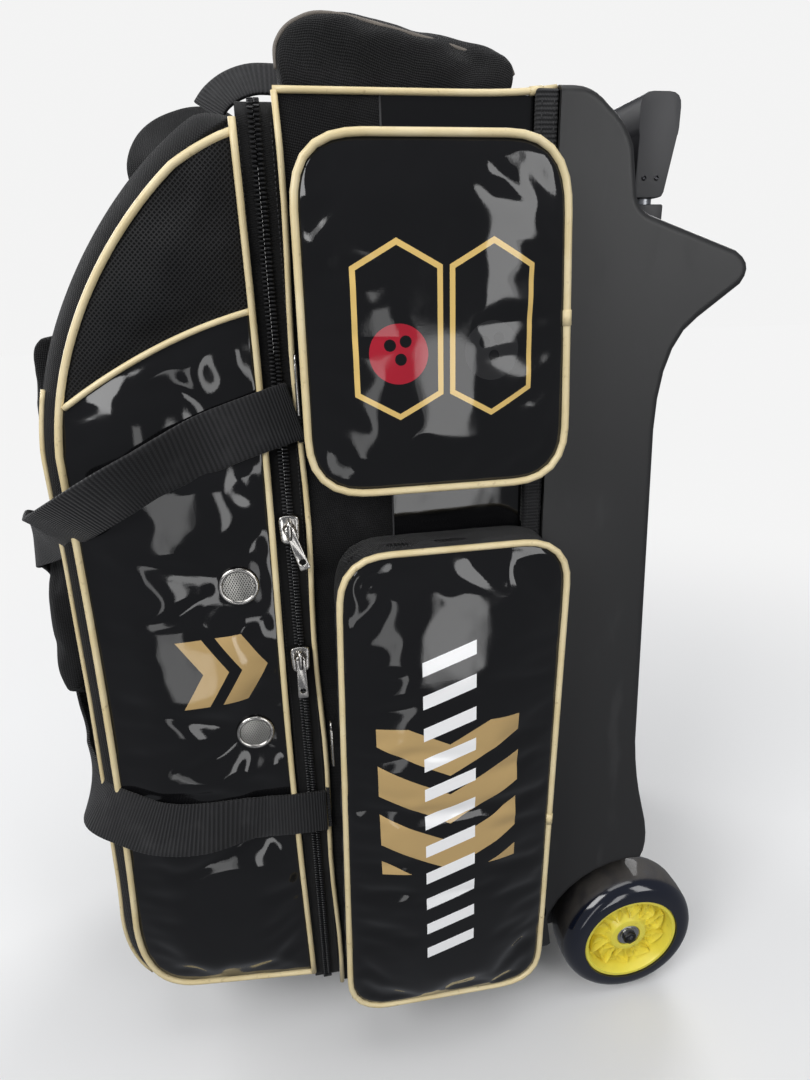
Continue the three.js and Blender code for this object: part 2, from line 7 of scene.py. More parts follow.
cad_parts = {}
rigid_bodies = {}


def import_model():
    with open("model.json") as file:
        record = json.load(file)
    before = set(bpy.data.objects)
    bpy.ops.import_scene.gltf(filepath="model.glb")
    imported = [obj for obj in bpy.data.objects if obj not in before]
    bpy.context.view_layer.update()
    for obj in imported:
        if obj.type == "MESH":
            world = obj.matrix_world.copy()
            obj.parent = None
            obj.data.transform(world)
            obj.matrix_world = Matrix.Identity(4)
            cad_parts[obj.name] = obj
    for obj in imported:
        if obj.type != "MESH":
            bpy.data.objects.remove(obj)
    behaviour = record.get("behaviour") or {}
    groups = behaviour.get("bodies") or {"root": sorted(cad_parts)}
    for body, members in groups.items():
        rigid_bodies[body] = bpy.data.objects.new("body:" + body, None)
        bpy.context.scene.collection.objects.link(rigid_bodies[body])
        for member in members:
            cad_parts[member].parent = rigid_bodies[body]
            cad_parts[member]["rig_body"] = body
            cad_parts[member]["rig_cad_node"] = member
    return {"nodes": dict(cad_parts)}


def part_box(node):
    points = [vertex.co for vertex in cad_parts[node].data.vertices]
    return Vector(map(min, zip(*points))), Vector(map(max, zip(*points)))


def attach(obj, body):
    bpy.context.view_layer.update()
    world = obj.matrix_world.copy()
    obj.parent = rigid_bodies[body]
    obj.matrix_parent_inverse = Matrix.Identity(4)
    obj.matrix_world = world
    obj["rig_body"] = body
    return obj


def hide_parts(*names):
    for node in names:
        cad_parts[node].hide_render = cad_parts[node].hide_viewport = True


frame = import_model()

mm = 0.001
scene = bpy.context.scene
nodes = frame["nodes"]
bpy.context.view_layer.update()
sides = {"left": -1, "right": 1}
print("frame loaded", len(nodes), "nodes")


# ---- camera, floor and lights
view = {
    "place": (-0.0786, -0.5952, 0.6372),
    "across": (0.98293, -0.18235, -0.02467),
    "up": (0.08538, 0.33323, 0.93899),
    "lens": 23.387,
    "sensor": 36,
    "clipStart": 0.01,
}


def makeCamera():
    bpy.ops.object.camera_add()
    camera = bpy.context.object
    across = Vector(view["across"])
    up = Vector(view["up"])
    back = across.cross(up)
    camera.matrix_world = Matrix.Translation(view["place"]) @ Matrix((across, up, back)).transposed().to_4x4()
    camera.data.lens = view["lens"]
    camera.data.sensor_width = view["sensor"]
    camera.data.clip_start = view["clipStart"]
    scene.camera = camera


studio = {
    "floorSize": 16,
    "floorPale": (0.8, 0.8, 0.8),
    "floorPaler": (0.84, 0.84, 0.84),
    "wallColour": (0.9, 0.93, 1.0),
    "wallLight": 0.2,
    "backdrop": (0.9, 0.9, 0.9),
    "fade": (0.5, 1.5),
    "boxes": [  # place, what it looks at, width, height, watts
        ((-1.5, -1.3, 1.7), (0, 0, 0.45), 1.1, 1.5, 34),
        ((1.3, -1.9, 1.2), (0, 0, 0.4), 0.7, 1.6, 15),
        ((0.1, -0.3, 2.4), (0, 0, 0.4), 1.6, 1.0, 13),
        ((1.2, 1.7, 1.6), (0, 0, 0.5), 1.2, 1.2, 24),
        ((-1.6, 1.5, 1.4), (0, 0, 0.5), 1.0, 1.4, 20),
        ((0.42, -1.75, 0.0), (0.42, 0, 0.15), 0.3, 1.0, 3.4),
        ((-0.42, -1.75, -0.05), (-0.3, 0, 0.1), 0.2, 1.2, 1.6),
    ],
}


def makeStudio():
    bpy.ops.mesh.primitive_plane_add(size=studio["floorSize"])
    floor = bpy.context.object
    floor.name = "studioFloor"
    # the floor takes shadows near the bag and turns into the backdrop further out
    paint = Finish("paleFloor", {"Roughness": 0.9, "Specular IOR Level": 0.1, "Emission Strength": 1.0})
    x, y, _ = paint.axes()
    far = paint.ramp(paint.sum("SQRT", x * x + y * y, 0), *studio["fade"])
    pale = paint.mix(paint.noise(1.5, 2), studio["floorPale"], studio["floorPaler"])
    paint.wear("Base Color", paint.mix(far, pale, (0, 0, 0)))
    paint.wear("Emission Color", paint.mix(far, (0, 0, 0), studio["backdrop"]))
    floor.data.materials.append(paint.material)
    floor.visible_glossy = False
    floor.visible_diffuse = False
    world = bpy.data.worlds.new("studio")
    scene.world = world
    world.use_nodes = True
    # the camera sees a pale backdrop, and everything else is lit by a dimmer wall
    tree = world.node_tree
    wall = tree.nodes["Background"]
    wall.inputs["Color"].default_value = (*studio["wallColour"], 1)
    wall.inputs["Strength"].default_value = studio["wallLight"]
    backdrop = tree.nodes.new("ShaderNodeBackground")
    backdrop.inputs["Color"].default_value = (*studio["backdrop"], 1)
    seen = tree.nodes.new("ShaderNodeLightPath")
    either = tree.nodes.new("ShaderNodeMixShader")
    tree.links.new(seen.outputs["Is Camera Ray"], either.inputs[0])
    tree.links.new(wall.outputs[0], either.inputs[1])
    tree.links.new(backdrop.outputs[0], either.inputs[2])
    tree.links.new(either.outputs[0], tree.nodes["World Output"].inputs["Surface"])
    for place, target, width, height, watts in studio["boxes"]:
        bpy.ops.object.light_add(type="AREA", location=place)
        lamp = bpy.context.object
        lamp.data.shape = "RECTANGLE"
        lamp.data.size = width
        lamp.data.size_y = height
        lamp.data.energy = watts
        lamp.rotation_euler = (Vector(target) - Vector(place)).to_track_quat("-Z", "Y").to_euler()
        lamp.visible_camera = False
    scene.view_settings.view_transform = "Standard"


# ---- shader maths
class Wire:
    # a socket that adds its Math nodes when it is used in a sum
    def __init__(self, finish, socket):
        self.finish = finish
        self.socket = socket

    def __add__(self, other):
        return self.finish.sum("ADD", self, other)

    def __radd__(self, other):
        return self.finish.sum("ADD", other, self)

    def __sub__(self, other):
        return self.finish.sum("SUBTRACT", self, other)

    def __rsub__(self, other):
        return self.finish.sum("SUBTRACT", other, self)

    def __mul__(self, other):
        return self.finish.sum("MULTIPLY", self, other)

    def __rmul__(self, other):
        return self.finish.sum("MULTIPLY", other, self)

    def __gt__(self, other):
        return self.finish.sum("GREATER_THAN", self, other)

    def __lt__(self, other):
        return self.finish.sum("LESS_THAN", self, other)

    def __abs__(self):
        return self.finish.sum("ABSOLUTE", self, 0)


class Finish:
    # one material: fixed values go straight on its shader, and what varies is wired in with wear()
    def __init__(self, name, fixed):
        self.material = bpy.data.materials.new(name)
        self.material.use_nodes = True
        self.tree = self.material.node_tree
        self.shader = self.tree.nodes["Principled BSDF"]
        for socket, value in fixed.items():
            self.feed(self.shader.inputs[socket], value)
        self.place = self.node("ShaderNodeTexCoord", output="Object")

    def feed(self, socket, value):
        if isinstance(value, Wire):
            self.tree.links.new(value.socket, socket)
        elif socket.type == "RGBA":
            socket.default_value = (*value[:3], 1)
        else:
            socket.default_value = value

    def node(self, kind, settings=None, sockets=None, output=0):
        made = self.tree.nodes.new(kind)
        for key, value in (settings or {}).items():
            setattr(made, key, value)
        for key, value in (sockets or {}).items():
            self.feed(made.inputs[key], value)
        return Wire(self, made.outputs[output])

    def sum(self, operation, a, b):
        return self.node("ShaderNodeMath", {"operation": operation}, {0: a, 1: b})

    def wear(self, socket, value):
        self.feed(self.shader.inputs[socket], value)

    def axes(self):
        parts = self.node("ShaderNodeSeparateXYZ", sockets={0: self.place}).socket.node.outputs
        return [Wire(self, part) for part in parts]

    def uv(self):
        source = self.node("ShaderNodeTexCoord", output="UV")
        parts = self.node("ShaderNodeSeparateXYZ", sockets={0: source}).socket.node.outputs
        return [Wire(self, part) for part in parts[:2]]

    def stretched(self, scale):
        return self.node("ShaderNodeMapping", sockets={"Vector": self.place, "Scale": scale})

    def noise(self, scale, detail=2.0, place=None):
        sockets = {"Vector": place or self.place, "Scale": scale, "Detail": detail}
        return self.node("ShaderNodeTexNoise", sockets=sockets)

    def cells(self, scale):
        return self.node("ShaderNodeTexVoronoi", sockets={"Vector": self.place, "Scale": scale})

    def sine(self, value):
        return self.sum("SINE", value, 0)

    def most(self, a, b):
        return self.sum("MAXIMUM", a, b)

    def ramp(self, value, low, high, start=0.0, end=1.0):
        sockets = {"Value": value, "From Min": low, "From Max": high, "To Min": start, "To Max": end}
        return self.node("ShaderNodeMapRange", {"interpolation_type": "SMOOTHSTEP"}, sockets)

    def mix(self, factor, a, b):
        return self.node("ShaderNodeMix", {"data_type": "RGBA"}, {0: factor, 6: a, 7: b}, output=2)

    def bump(self, height, distance, strength=1.0, below=None):
        sockets = {"Height": height, "Distance": distance, "Strength": strength}
        if below:
            sockets["Normal"] = below
        return self.node("ShaderNodeBump", sockets=sockets)


# ---- finishes
inks = {
    "gold": (0.78, 0.54, 0.18),
    "red": (0.4, 0.014, 0.03),
    "tan": (0.54, 0.37, 0.16),
    "white": (1, 1, 1),
    "slate": (0.022, 0.022, 0.023),
}


def shield(f, x, z, centre, m):
    # distance from the edge of a tall six-sided shield, negative inside
    across = abs(x - centre[0])
    along = abs(z - centre[1])
    point = across * m["slope"] + along - m["halfHeight"]
    return f.most(across - m["halfWidth"], point * (1 / math.hypot(1, m["slope"])))


def disc(f, x, z, centre, radius):
    # distance from the edge of a disc, negative inside
    flat = f.node("ShaderNodeCombineXYZ", sockets={0: x - centre[0], 1: z - centre[1]})
    reach = f.node("ShaderNodeVectorMath", {"operation": "LENGTH"}, {0: flat}, output="Value")
    return reach - radius


upperMark = {
    "x": 21 * mm, "z": 611 * mm, "step": 56 * mm, "halfWidth": 26 * mm, "halfHeight": 50 * mm, "slope": 0.55,
    "line": 1.6 * mm, "disc": 17 * mm, "discDrop": 12 * mm, "hole": 3.4 * mm,
    "holes": [(-5 * mm, 5 * mm), (4 * mm, 7 * mm), (1 * mm, -3 * mm)],
}


def upperPrint(f, x, z, colour):
    # two outlined shields side by side, with a red disc in the first and a slate one in the second
    m = upperMark
    for turn, ink in [(-0.5, "red"), (0.5, "slate")]:
        centre = (m["x"] + turn * m["step"], m["z"])
        edge = shield(f, x, z, centre, m)
        colour = f.mix(abs(edge + m["line"]) < m["line"], colour, inks["gold"])
        middle = (centre[0], centre[1] - m["discDrop"])
        dot = disc(f, x, z, middle, m["disc"]) < 0
        for across, up in m["holes"]:
            hole = disc(f, x, z, (middle[0] + across, middle[1] + up), m["hole"])
            dot = dot * (hole > 0)
        colour = f.mix(dot, colour, inks[ink])
    return colour


lowerMark = {
    "x": 22 * mm, "low": 215 * mm, "high": 345 * mm, "halfWidth": 52 * mm,
    "chevrons": 3, "slope": 0.55, "fill": 0.62,
    "bars": (132 * mm, 418 * mm), "barHalf": 19 * mm, "barPitch": 26 * mm, "barSlope": 0.35, "barFill": 0.42,
}


def lowerPrint(f, x, z, colour):
    # tan chevrons behind a column of slanted white bars
    m = lowerMark
    across = abs(x - m["x"])
    step = (m["high"] - m["low"]) / m["chevrons"]
    wave = f.sum("FRACT", (z - m["low"] - across * m["slope"]) * (1 / step), 0)
    inside = (across < m["halfWidth"]) * (z > m["low"]) * (z < m["high"])
    colour = f.mix(inside * (wave < m["fill"]), colour, inks["tan"])
    slant = z - (x - m["x"]) * m["barSlope"]
    bar = f.sum("FRACT", (slant - m["bars"][0]) * (1 / m["barPitch"]), 0) < m["barFill"]
    column = (abs(x - m["x"]) < m["barHalf"]) * (slant > m["bars"][0]) * (slant < m["bars"][1])
    return f.mix(column * bar, colour, inks["white"])


lidMark = {"x": -119 * mm, "z": 381 * mm, "half": 27 * mm, "slope": 0.6, "fill": 0.66}


def lidPrint(f, x, z, colour):
    # two nested tan chevrons between the vents
    m = lidMark
    across = abs(z - m["z"])
    lean = (x - m["x"]) + across * m["slope"]
    inside = (across < m["half"]) * (lean > -m["half"]) * (lean < m["half"])
    wave = f.sum("FRACT", (lean + m["half"]) * (1 / m["half"]), 0)
    return f.mix(inside * (wave < m["fill"]), colour, inks["tan"])


vinyl = {"colour": (0.004, 0.004, 0.0045), "haze": (0.007, 0.007, 0.0078), "rough": 0.06, "folds": 11,
         "foldDepth": 2.6 * mm}


def patentVinyl(name, artwork=None, folds=1.0):
    f = Finish(name, {"Specular IOR Level": 0.4, "Coat Weight": 0.25, "Coat Roughness": 0.03})
    x, _, z = f.axes()
    colour = f.mix(f.noise(16, 3), vinyl["colour"], vinyl["haze"])
    if artwork:
        colour = artwork(f, x, z, colour)
    f.wear("Base Color", colour)
    f.wear("Roughness", vinyl["rough"] + f.ramp(f.noise(45, 4), 0.5, 0.8, 0, 0.1))
    long = f.noise(vinyl["folds"], 2, f.stretched((1, 1, 0.38)))
    short = f.noise(38, 1.5, f.stretched((1, 1, 0.6)))
    creased = f.bump(long + short * 0.22, vinyl["foldDepth"] * folds, 0.8)
    f.wear("Normal", f.bump(f.noise(1400, 1), 0.02 * mm, 0.5, creased))
    return f.material


cloth = {"yarn": 2900, "colour": (0.005, 0.005, 0.0054), "worn": (0.0095, 0.0095, 0.01)}


def wovenNylon(name, yarn=1.0, lift=1.0):
    f = Finish(name, {"Specular IOR Level": 0.22, "Sheen Weight": 0.12, "Sheen Roughness": 0.4})
    x, y, z = f.axes()
    pitch = cloth["yarn"] * yarn
    warp = f.sine((x + y + z * 0.5) * pitch)
    weft = f.sine((z + (y - x) * 0.7) * pitch)
    weave = warp * weft
    colour = f.mix(f.ramp(weave, -0.6, 0.9), cloth["colour"], tuple(c * lift for c in cloth["worn"]))
    dusty = f.ramp(f.noise(30, 4), 0.45, 0.75)
    f.wear("Base Color", f.mix(dusty, colour, tuple(c * 1.5 for c in cloth["worn"])))
    f.wear("Roughness", f.ramp(weave, -1, 1, 0.92, 0.7))
    soft = f.bump(f.noise(24, 3), 1.6 * mm, 0.6)
    f.wear("Normal", f.bump(weave, 0.35 * mm, 0.8, soft))
    return f.material


netting = {"pitch": 2100, "hole": (0.0028, 0.0028, 0.003), "yarn": (0.0115, 0.0115, 0.0125)}


def spacerMesh(name):
    # diagonal air mesh: dark holes between raised yarns
    f = Finish(name, {"Specular IOR Level": 0.25})
    x, _, z = f.axes()
    holes = f.most(f.sine((x + z) * netting["pitch"]), f.sine((x - z) * netting["pitch"]))
    yarn = f.ramp(holes, -0.1, 0.75)
    f.wear("Base Color", f.mix(yarn, netting["hole"], netting["yarn"]))
    f.wear("Roughness", f.ramp(yarn, 0, 1, 1, 0.65))
    soft = f.bump(f.noise(14, 2), 2 * mm, 0.5)
    f.wear("Normal", f.bump(yarn, 0.8 * mm, 0.9, soft))
    return f.material


webbing = {"rib": 2600, "yarn": 3800, "colour": (0.0085, 0.0085, 0.0095), "ridge": (0.019, 0.019, 0.021),
           "worn": (0.024, 0.024, 0.0255)}


def ribbedWebbing(name, byLength):
    # ribs run across the strap; byLength reads them from the strap's own map, in metres
    f = Finish(name, {"Specular IOR Level": 0.3, "Sheen Weight": 0.15, "Sheen Roughness": 0.5})
    x, y, z = f.axes()
    along, across = f.uv() if byLength else (z, x + y)
    rib = f.sine(along * webbing["rib"]) * f.ramp(f.sine(across * webbing["yarn"]), -1, 1, 0.6, 1)
    colour = f.mix(f.ramp(rib, -0.7, 0.9), webbing["colour"], webbing["ridge"])
    f.wear("Base Color", f.mix(f.ramp(f.noise(60, 4), 0.5, 0.8), colour, webbing["worn"]))
    f.wear("Roughness", f.ramp(rib, -1, 1, 0.85, 0.62))
    f.wear("Normal", f.bump(rib, 0.4 * mm, 0.9))
    return f.material


cream = {"deep": (0.76, 0.62, 0.34), "pale": (0.86, 0.73, 0.45), "soiled": (0.46, 0.34, 0.16)}


def pipingVinyl():
    f = Finish("creamPiping", {"Specular IOR Level": 0.5, "Coat Weight": 0.15, "Coat Roughness": 0.25})
    shade = f.ramp(f.noise(40, 4), 0.3, 0.75)
    colour = f.mix(shade, cream["deep"], cream["pale"])
    f.wear("Base Color", f.mix(f.ramp(f.noise(230, 3), 0.6, 0.85), colour, cream["soiled"]))
    f.wear("Roughness", f.ramp(f.noise(90, 3), 0.3, 0.8, 0.32, 0.5))
    f.wear("Normal", f.bump(f.noise(500, 3), 0.12 * mm, 0.6))
    return f.material


def mouldedPlastic(name, colour, rough, grain=0.05):
    f = Finish(name, {"Specular IOR Level": 0.45})
    scuff = f.ramp(f.noise(55, 6, f.stretched((1, 1, 0.25))), 0.56, 0.74)
    lighter = tuple(c * 1.35 + 0.003 for c in colour)
    f.wear("Base Color", f.mix(scuff, colour, lighter))
    f.wear("Roughness", rough + scuff * 0.12 + f.noise(9, 2) * 0.06)
    f.wear("Normal", f.bump(f.noise(1900, 2), grain * mm, 0.5))
    return f.material


def platedMetal(name, colour, rough):
    f = Finish(name, {"Metallic": 1.0})
    smudge = f.noise(120, 4)
    f.wear("Base Color", f.mix(smudge, colour, tuple(c * 0.72 for c in colour)))
    f.wear("Roughness", rough + f.ramp(f.noise(60, 5), 0.4, 0.8, 0, 0.2))
    f.wear("Normal", f.bump(f.noise(700, 2, f.stretched((1, 1, 0.05))), 0.03 * mm, 0.5))
    return f.material


punched = {"pitch": 1750, "stagger": 0.577, "metal": (0.5, 0.49, 0.46), "hole": (0.035, 0.033, 0.03)}


def punchedMetal():
    # vent disc: staggered holes in plated sheet
    f = Finish("ventMesh", {"Metallic": 0.85})
    x, _, z = f.axes()
    pitch = punched["pitch"]
    row = pitch * punched["stagger"]
    first = f.sine(x * pitch) * f.sine(z * row)
    second = f.sine(x * pitch + math.pi / 2) * f.sine(z * row + math.pi / 2)
    hole = f.ramp(f.most(abs(first), abs(second)), 0.72, 0.9)
    f.wear("Base Color", f.mix(hole, punched["metal"], punched["hole"]))
    f.wear("Roughness", f.ramp(hole, 0, 1, 0.28, 0.8))
    f.wear("Normal", f.bump(1 - hole, 0.5 * mm, 0.9))
    return f.material


urethane = {"navy": (0.006, 0.008, 0.017), "dust": (0.05, 0.044, 0.039)}


def urethaneTyre(name, centre, radius, middle, half):
    # glossy shoulders and a matte, dusty running band
    f = Finish(name, {"Specular IOR Level": 0.6, "Coat Weight": 0.4, "Coat Roughness": 0.08})
    x, y, z = f.axes()
    reach = disc(f, x, z, (centre.x, centre.z), 0)
    band = f.ramp(abs(y - middle), half * 0.9, half * 0.45) * f.ramp(reach, radius * 0.97, radius * 0.99)
    dust = band * f.ramp(f.noise(70, 5), 0.25, 0.6, 0.45, 1)
    f.wear("Base Color", f.mix(dust, urethane["navy"], urethane["dust"]))
    f.wear("Roughness", f.ramp(dust, 0, 1, 0.12, 0.72))
    soft = f.bump(f.noise(22, 2), 0.6 * mm, 0.4)
    f.wear("Normal", f.bump(f.noise(420, 3) * (0.15 + dust), 0.25 * mm, 0.7, soft))
    return f.material


yellow = {"deep": (0.83, 0.7, 0.06), "pale": (0.92, 0.8, 0.12), "soiled": (0.55, 0.42, 0.05)}


def yellowNylon():
    f = Finish("yellowHub", {"Specular IOR Level": 0.5, "Subsurface Weight": 0.05})
    shade = f.noise(35, 3)
    colour = f.mix(shade, yellow["deep"], yellow["pale"])
    f.wear("Base Color", f.mix(f.ramp(f.noise(160, 4), 0.6, 0.8), colour, yellow["soiled"]))
    f.wear("Roughness", f.ramp(shade, 0.3, 0.7, 0.3, 0.45))
    f.wear("Normal", f.bump(f.noise(900, 2), 0.05 * mm, 0.5))
    return f.material


foam = {"pores": 420, "deep": (0.02, 0.02, 0.022), "pale": (0.06, 0.06, 0.064)}


def cradleFoam():
    f = Finish("cradleFoam", {"Specular IOR Level": 0.1})
    pore = f.cells(foam["pores"])
    f.wear("Base Color", f.mix(f.ramp(pore, 0.1, 0.6), foam["deep"], foam["pale"]))
    f.wear("Roughness", f.ramp(pore, 0, 1, 1, 0.85))
    f.wear("Normal", f.bump(pore, 0.8 * mm, 0.7))
    return f.material


# ---- making and shaping
def deselect():
    bpy.ops.object.select_all(action="DESELECT")


def pick(obj):
    deselect()
    obj.select_set(True)
    bpy.context.view_layer.objects.active = obj
    return obj


def named(name):
    obj = bpy.context.object
    obj.name = name
    obj.data.name = name
    return obj


def settle(obj):
    # its place and size go into its mesh
    pick(obj)
    bpy.ops.object.transform_apply(location=True, rotation=True, scale=True)
    return obj


def modify(obj, kind, keep=False, **settings):
    pick(obj)
    modifier = obj.modifiers.new(kind.lower(), kind)
    for key, value in settings.items():
        setattr(modifier, key, value)
    if not keep:
        bpy.ops.object.modifier_apply(modifier=modifier.name)
    return obj


def smooth(obj, angle=38):
    pick(obj)
    bpy.ops.object.shade_smooth_by_angle(angle=math.radians(angle))
    return obj


def rounded(obj, width, segments=3, angle=32):
    limit = math.radians(angle)
    modify(obj, "BEVEL", width=width, segments=segments, limit_method="ANGLE", angle_limit=limit)
    return smooth(obj)


def subdivided(obj, levels=1):
    pick(obj)
    bpy.ops.object.shade_smooth()
    return modify(obj, "SUBSURF", keep=True, levels=levels, render_levels=levels)


def editing(obj):
    pick(obj)
    bpy.ops.object.mode_set(mode="EDIT")


def done():
    bpy.ops.object.mode_set(mode="OBJECT")


def outward(obj, merge=1e-6):
    editing(obj)
    bpy.ops.mesh.select_all(action="SELECT")
    bpy.ops.mesh.remove_doubles(threshold=merge)
    bpy.ops.mesh.normals_make_consistent(inside=False)
    done()
    return obj


def chooseFaces(obj, test):
    editing(obj)
    bpy.ops.mesh.select_mode(type="FACE")
    bpy.ops.mesh.select_all(action="DESELECT")
    done()
    for face in obj.data.polygons:
        face.select = test(face)
    bpy.ops.object.mode_set(mode="EDIT")


def chooseEdges(obj, test):
    editing(obj)
    bpy.ops.mesh.select_mode(type="EDGE")
    bpy.ops.mesh.select_all(action="DESELECT")
    done()
    spots = [vertex.co for vertex in obj.data.vertices]
    for edge in obj.data.edges:
        edge.select = test(*[spots[i] for i in edge.vertices])
    bpy.ops.object.mode_set(mode="EDIT")


def workingCopy(node, name):
    # a merged copy of a frame node, free to be rounded
    pick(nodes[node])
    bpy.ops.object.duplicate()
    obj = named(name)
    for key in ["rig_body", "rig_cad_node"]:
        del obj[key]
    obj.parent = None
    obj.data.materials.clear()
    editing(obj)
    bpy.ops.mesh.select_all(action="SELECT")
    bpy.ops.mesh.remove_doubles(threshold=2e-6)
    bpy.ops.mesh.dissolve_limited(angle_limit=math.radians(1.5))
    done()
    return obj


def plate(name, outline, near, far):
    # an outline in X and Z, extruded along Y
    deselect()
    bpy.ops.mesh.primitive_circle_add(vertices=len(outline), fill_type="NGON")
    obj = named(name)
    for vertex, (x, z) in zip(obj.data.vertices, outline):
        vertex.co = (x, near, z)
    editing(obj)
    bpy.ops.mesh.select_all(action="SELECT")
    bpy.ops.mesh.extrude_region_move(TRANSFORM_OT_translate={"value": (0, far - near, 0)})
    done()
    return outward(obj)


def sheetOf(name, columns, rows, place):
    # a grid whose points are put in place one by one
    deselect()
    bpy.ops.mesh.primitive_grid_add(x_subdivisions=columns, y_subdivisions=rows, size=2)
    obj = named(name)
    for vertex in obj.data.vertices:
        vertex.co = place((vertex.co.x + 1) / 2, (vertex.co.y + 1) / 2)
    return obj


def piped(name, points, radius, closed=False, smoothness=3):
    deselect()
    bpy.ops.curve.primitive_nurbs_path_add()
    obj = named(name)
    obj.data.splines.clear()
    spline = obj.data.splines.new("POLY")
    spline.points.add(len(points) - 1)
    for point, place in zip(spline.points, points):
        point.co = (*place, 1)
    spline.use_cyclic_u = closed
    obj.data.bevel_depth = radius
    obj.data.bevel_resolution = smoothness
    obj.data.use_fill_caps = not closed
    bpy.ops.object.convert(target="MESH")
    obj = named(name)
    bpy.ops.object.shade_smooth()
    return outward(obj)


def turned(name, profile, centre, steps=72):
    # a profile of (radius, along Y), spun about the Y line through centre
    deselect()
    bpy.ops.mesh.primitive_circle_add(vertices=len(profile), fill_type="NOTHING")
    obj = named(name)
    for vertex, (radius, along) in zip(obj.data.vertices, profile):
        vertex.co = (centre[0] + radius, centre[1] + along, centre[2])
    editing(obj)
    bpy.ops.mesh.select_all(action="SELECT")
    bpy.ops.mesh.spin(steps=steps, angle=math.tau, center=centre, axis=(0, 1, 0))
    done()
    return smooth(outward(obj))


def repeated(name, unit, places):
    # one mesh with a copy of the unit at each place; the unit itself goes
    corners = [vertex.co.copy() for vertex in unit.data.vertices]
    faces = [list(face.vertices) for face in unit.data.polygons]
    points = []
    sheets = []
    for place in places:
        start = len(points)
        points += [place @ corner for corner in corners]
        sheets += [[start + i for i in face] for face in faces]
    mesh = bpy.data.meshes.new(name)
    mesh.from_pydata(points, [], sheets)
    bpy.data.objects.remove(unit)
    obj = bpy.data.objects.new(name, mesh)
    scene.collection.objects.link(obj)
    return smooth(obj)


def joined(name, *parts):
    deselect()
    for part in parts:
        part.select_set(True)
    bpy.context.view_layer.objects.active = parts[0]
    bpy.ops.object.join()
    return named(name)


def seated(place, along, out):
    # a frame at place with local X along and local Z out
    along = along.normalized()
    side = out.cross(along).normalized()
    top = along.cross(side)
    return Matrix.Translation(place) @ Matrix((along, side, top)).transposed().to_4x4()


def spaced(points, pitch):
    # evenly spaced (place, direction) along a polyline
    marks = []
    ahead = pitch / 2
    for a, b in zip(points, points[1:]):
        length = (b - a).length
        while ahead <= length:
            marks.append((a.lerp(b, ahead / length), (b - a).normalized()))
            ahead += pitch
        ahead -= length
    return marks


def capsule(length, radius):
    # one stitch: a fat thread along X
    deselect()
    bpy.ops.mesh.primitive_cylinder_add(vertices=6, radius=radius, depth=length, rotation=(0, math.pi / 2, 0))
    obj = settle(named("stitch"))
    return modify(obj, "BEVEL", width=radius * 0.5, segments=1, limit_method="ANGLE")


def stitches(name, points, out, pitch=3.6 * mm, radius=0.42 * mm):
    places = [seated(place, along, out) for place, along in spaced(points, pitch)]
    return repeated(name, capsule(pitch * 0.62, radius), places)


def inflate(obj, held, reach, slack=0.0, pressure=4.0, frames=20):
    # fills a soft piece by cloth simulation; reach(spot) is how far each point may move
    pick(obj)
    before = [vertex.co.copy() for vertex in obj.data.vertices]
    group = obj.vertex_groups.new(name="held")
    for vertex in obj.data.vertices:
        weight = held(vertex.co)
        if weight > 0:
            group.add([vertex.index], weight, "REPLACE")
    modifier = obj.modifiers.new("filling", "CLOTH")
    settings = modifier.settings
    settings.vertex_group_mass = "held"
    settings.use_pressure = True
    settings.uniform_pressure_force = pressure
    settings.effector_weights.gravity = 0
    settings.shrink_min = -slack
    settings.bending_stiffness = 0.6
    modifier.point_cache.frame_start = 1
    modifier.point_cache.frame_end = frames
    for step in range(1, frames + 1):
        scene.frame_set(step)
    bpy.ops.object.modifier_apply(modifier="filling")
    scene.frame_set(1)
    for vertex, start in zip(obj.data.vertices, before):
        move = vertex.co - start
        limit = reach(start)
        if move.length > limit:
            vertex.co = start + move * (limit / move.length)
    obj.vertex_groups.clear()
    return obj


def remeshed(obj, size):
    pick(obj)
    obj.data.remesh_voxel_size = size
    obj.data.use_remesh_preserve_volume = True
    bpy.ops.object.voxel_remesh()
    return obj


def relaxed(obj, times, factor=0.5):
    return modify(obj, "SMOOTH", factor=factor, iterations=times)


def skin(obj, x, z, side, fallback):
    # Y of the outside of a soft piece at one spot
    found, place, _, _ = obj.ray_cast(Vector((x, side * 0.5, z)), Vector((0, -side, 0)))
    return place.y if found else fallback


def finish(obj, looks, slotName, body, *replaced):
    looks = looks if isinstance(looks, list) else [looks]
    if len(looks) == 1:
        obj.data.materials.clear()
        obj.data.materials.append(looks[0])
    else:
        for look in looks:
            obj.data.materials.append(look)
    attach(obj, body)
    if replaced:
        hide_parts(*replaced)
    return obj


# ---- lines in X and Z
def mark(x, z):
    return Vector((x, z))


def quad(a, b, c, steps=8):
    return [a.lerp(b, t).lerp(b.lerp(c, t), t) for t in [i / steps for i in range(1, steps + 1)]]


def cubic(a, b, c, d, steps=16):
    ends = []
    for t in [i / steps for i in range(1, steps + 1)]:
        first, second, third = a.lerp(b, t), b.lerp(c, t), c.lerp(d, t)
        ends.append(first.lerp(second, t).lerp(second.lerp(third, t), t))
    return ends


def straight(a, b, steps):
    return [a.lerp(b, i / steps) for i in range(1, steps + 1)]


def roundedCorners(corners, radius, steps=7):
    line = []
    count = len(corners)
    for i, here in enumerate(corners):
        before = corners[i - 1]
        after = corners[(i + 1) % count]
        start = here + (before - here).normalized() * radius
        end = here + (after - here).normalized() * radius
        line += [start] + quad(start, here, end, steps)
    return line


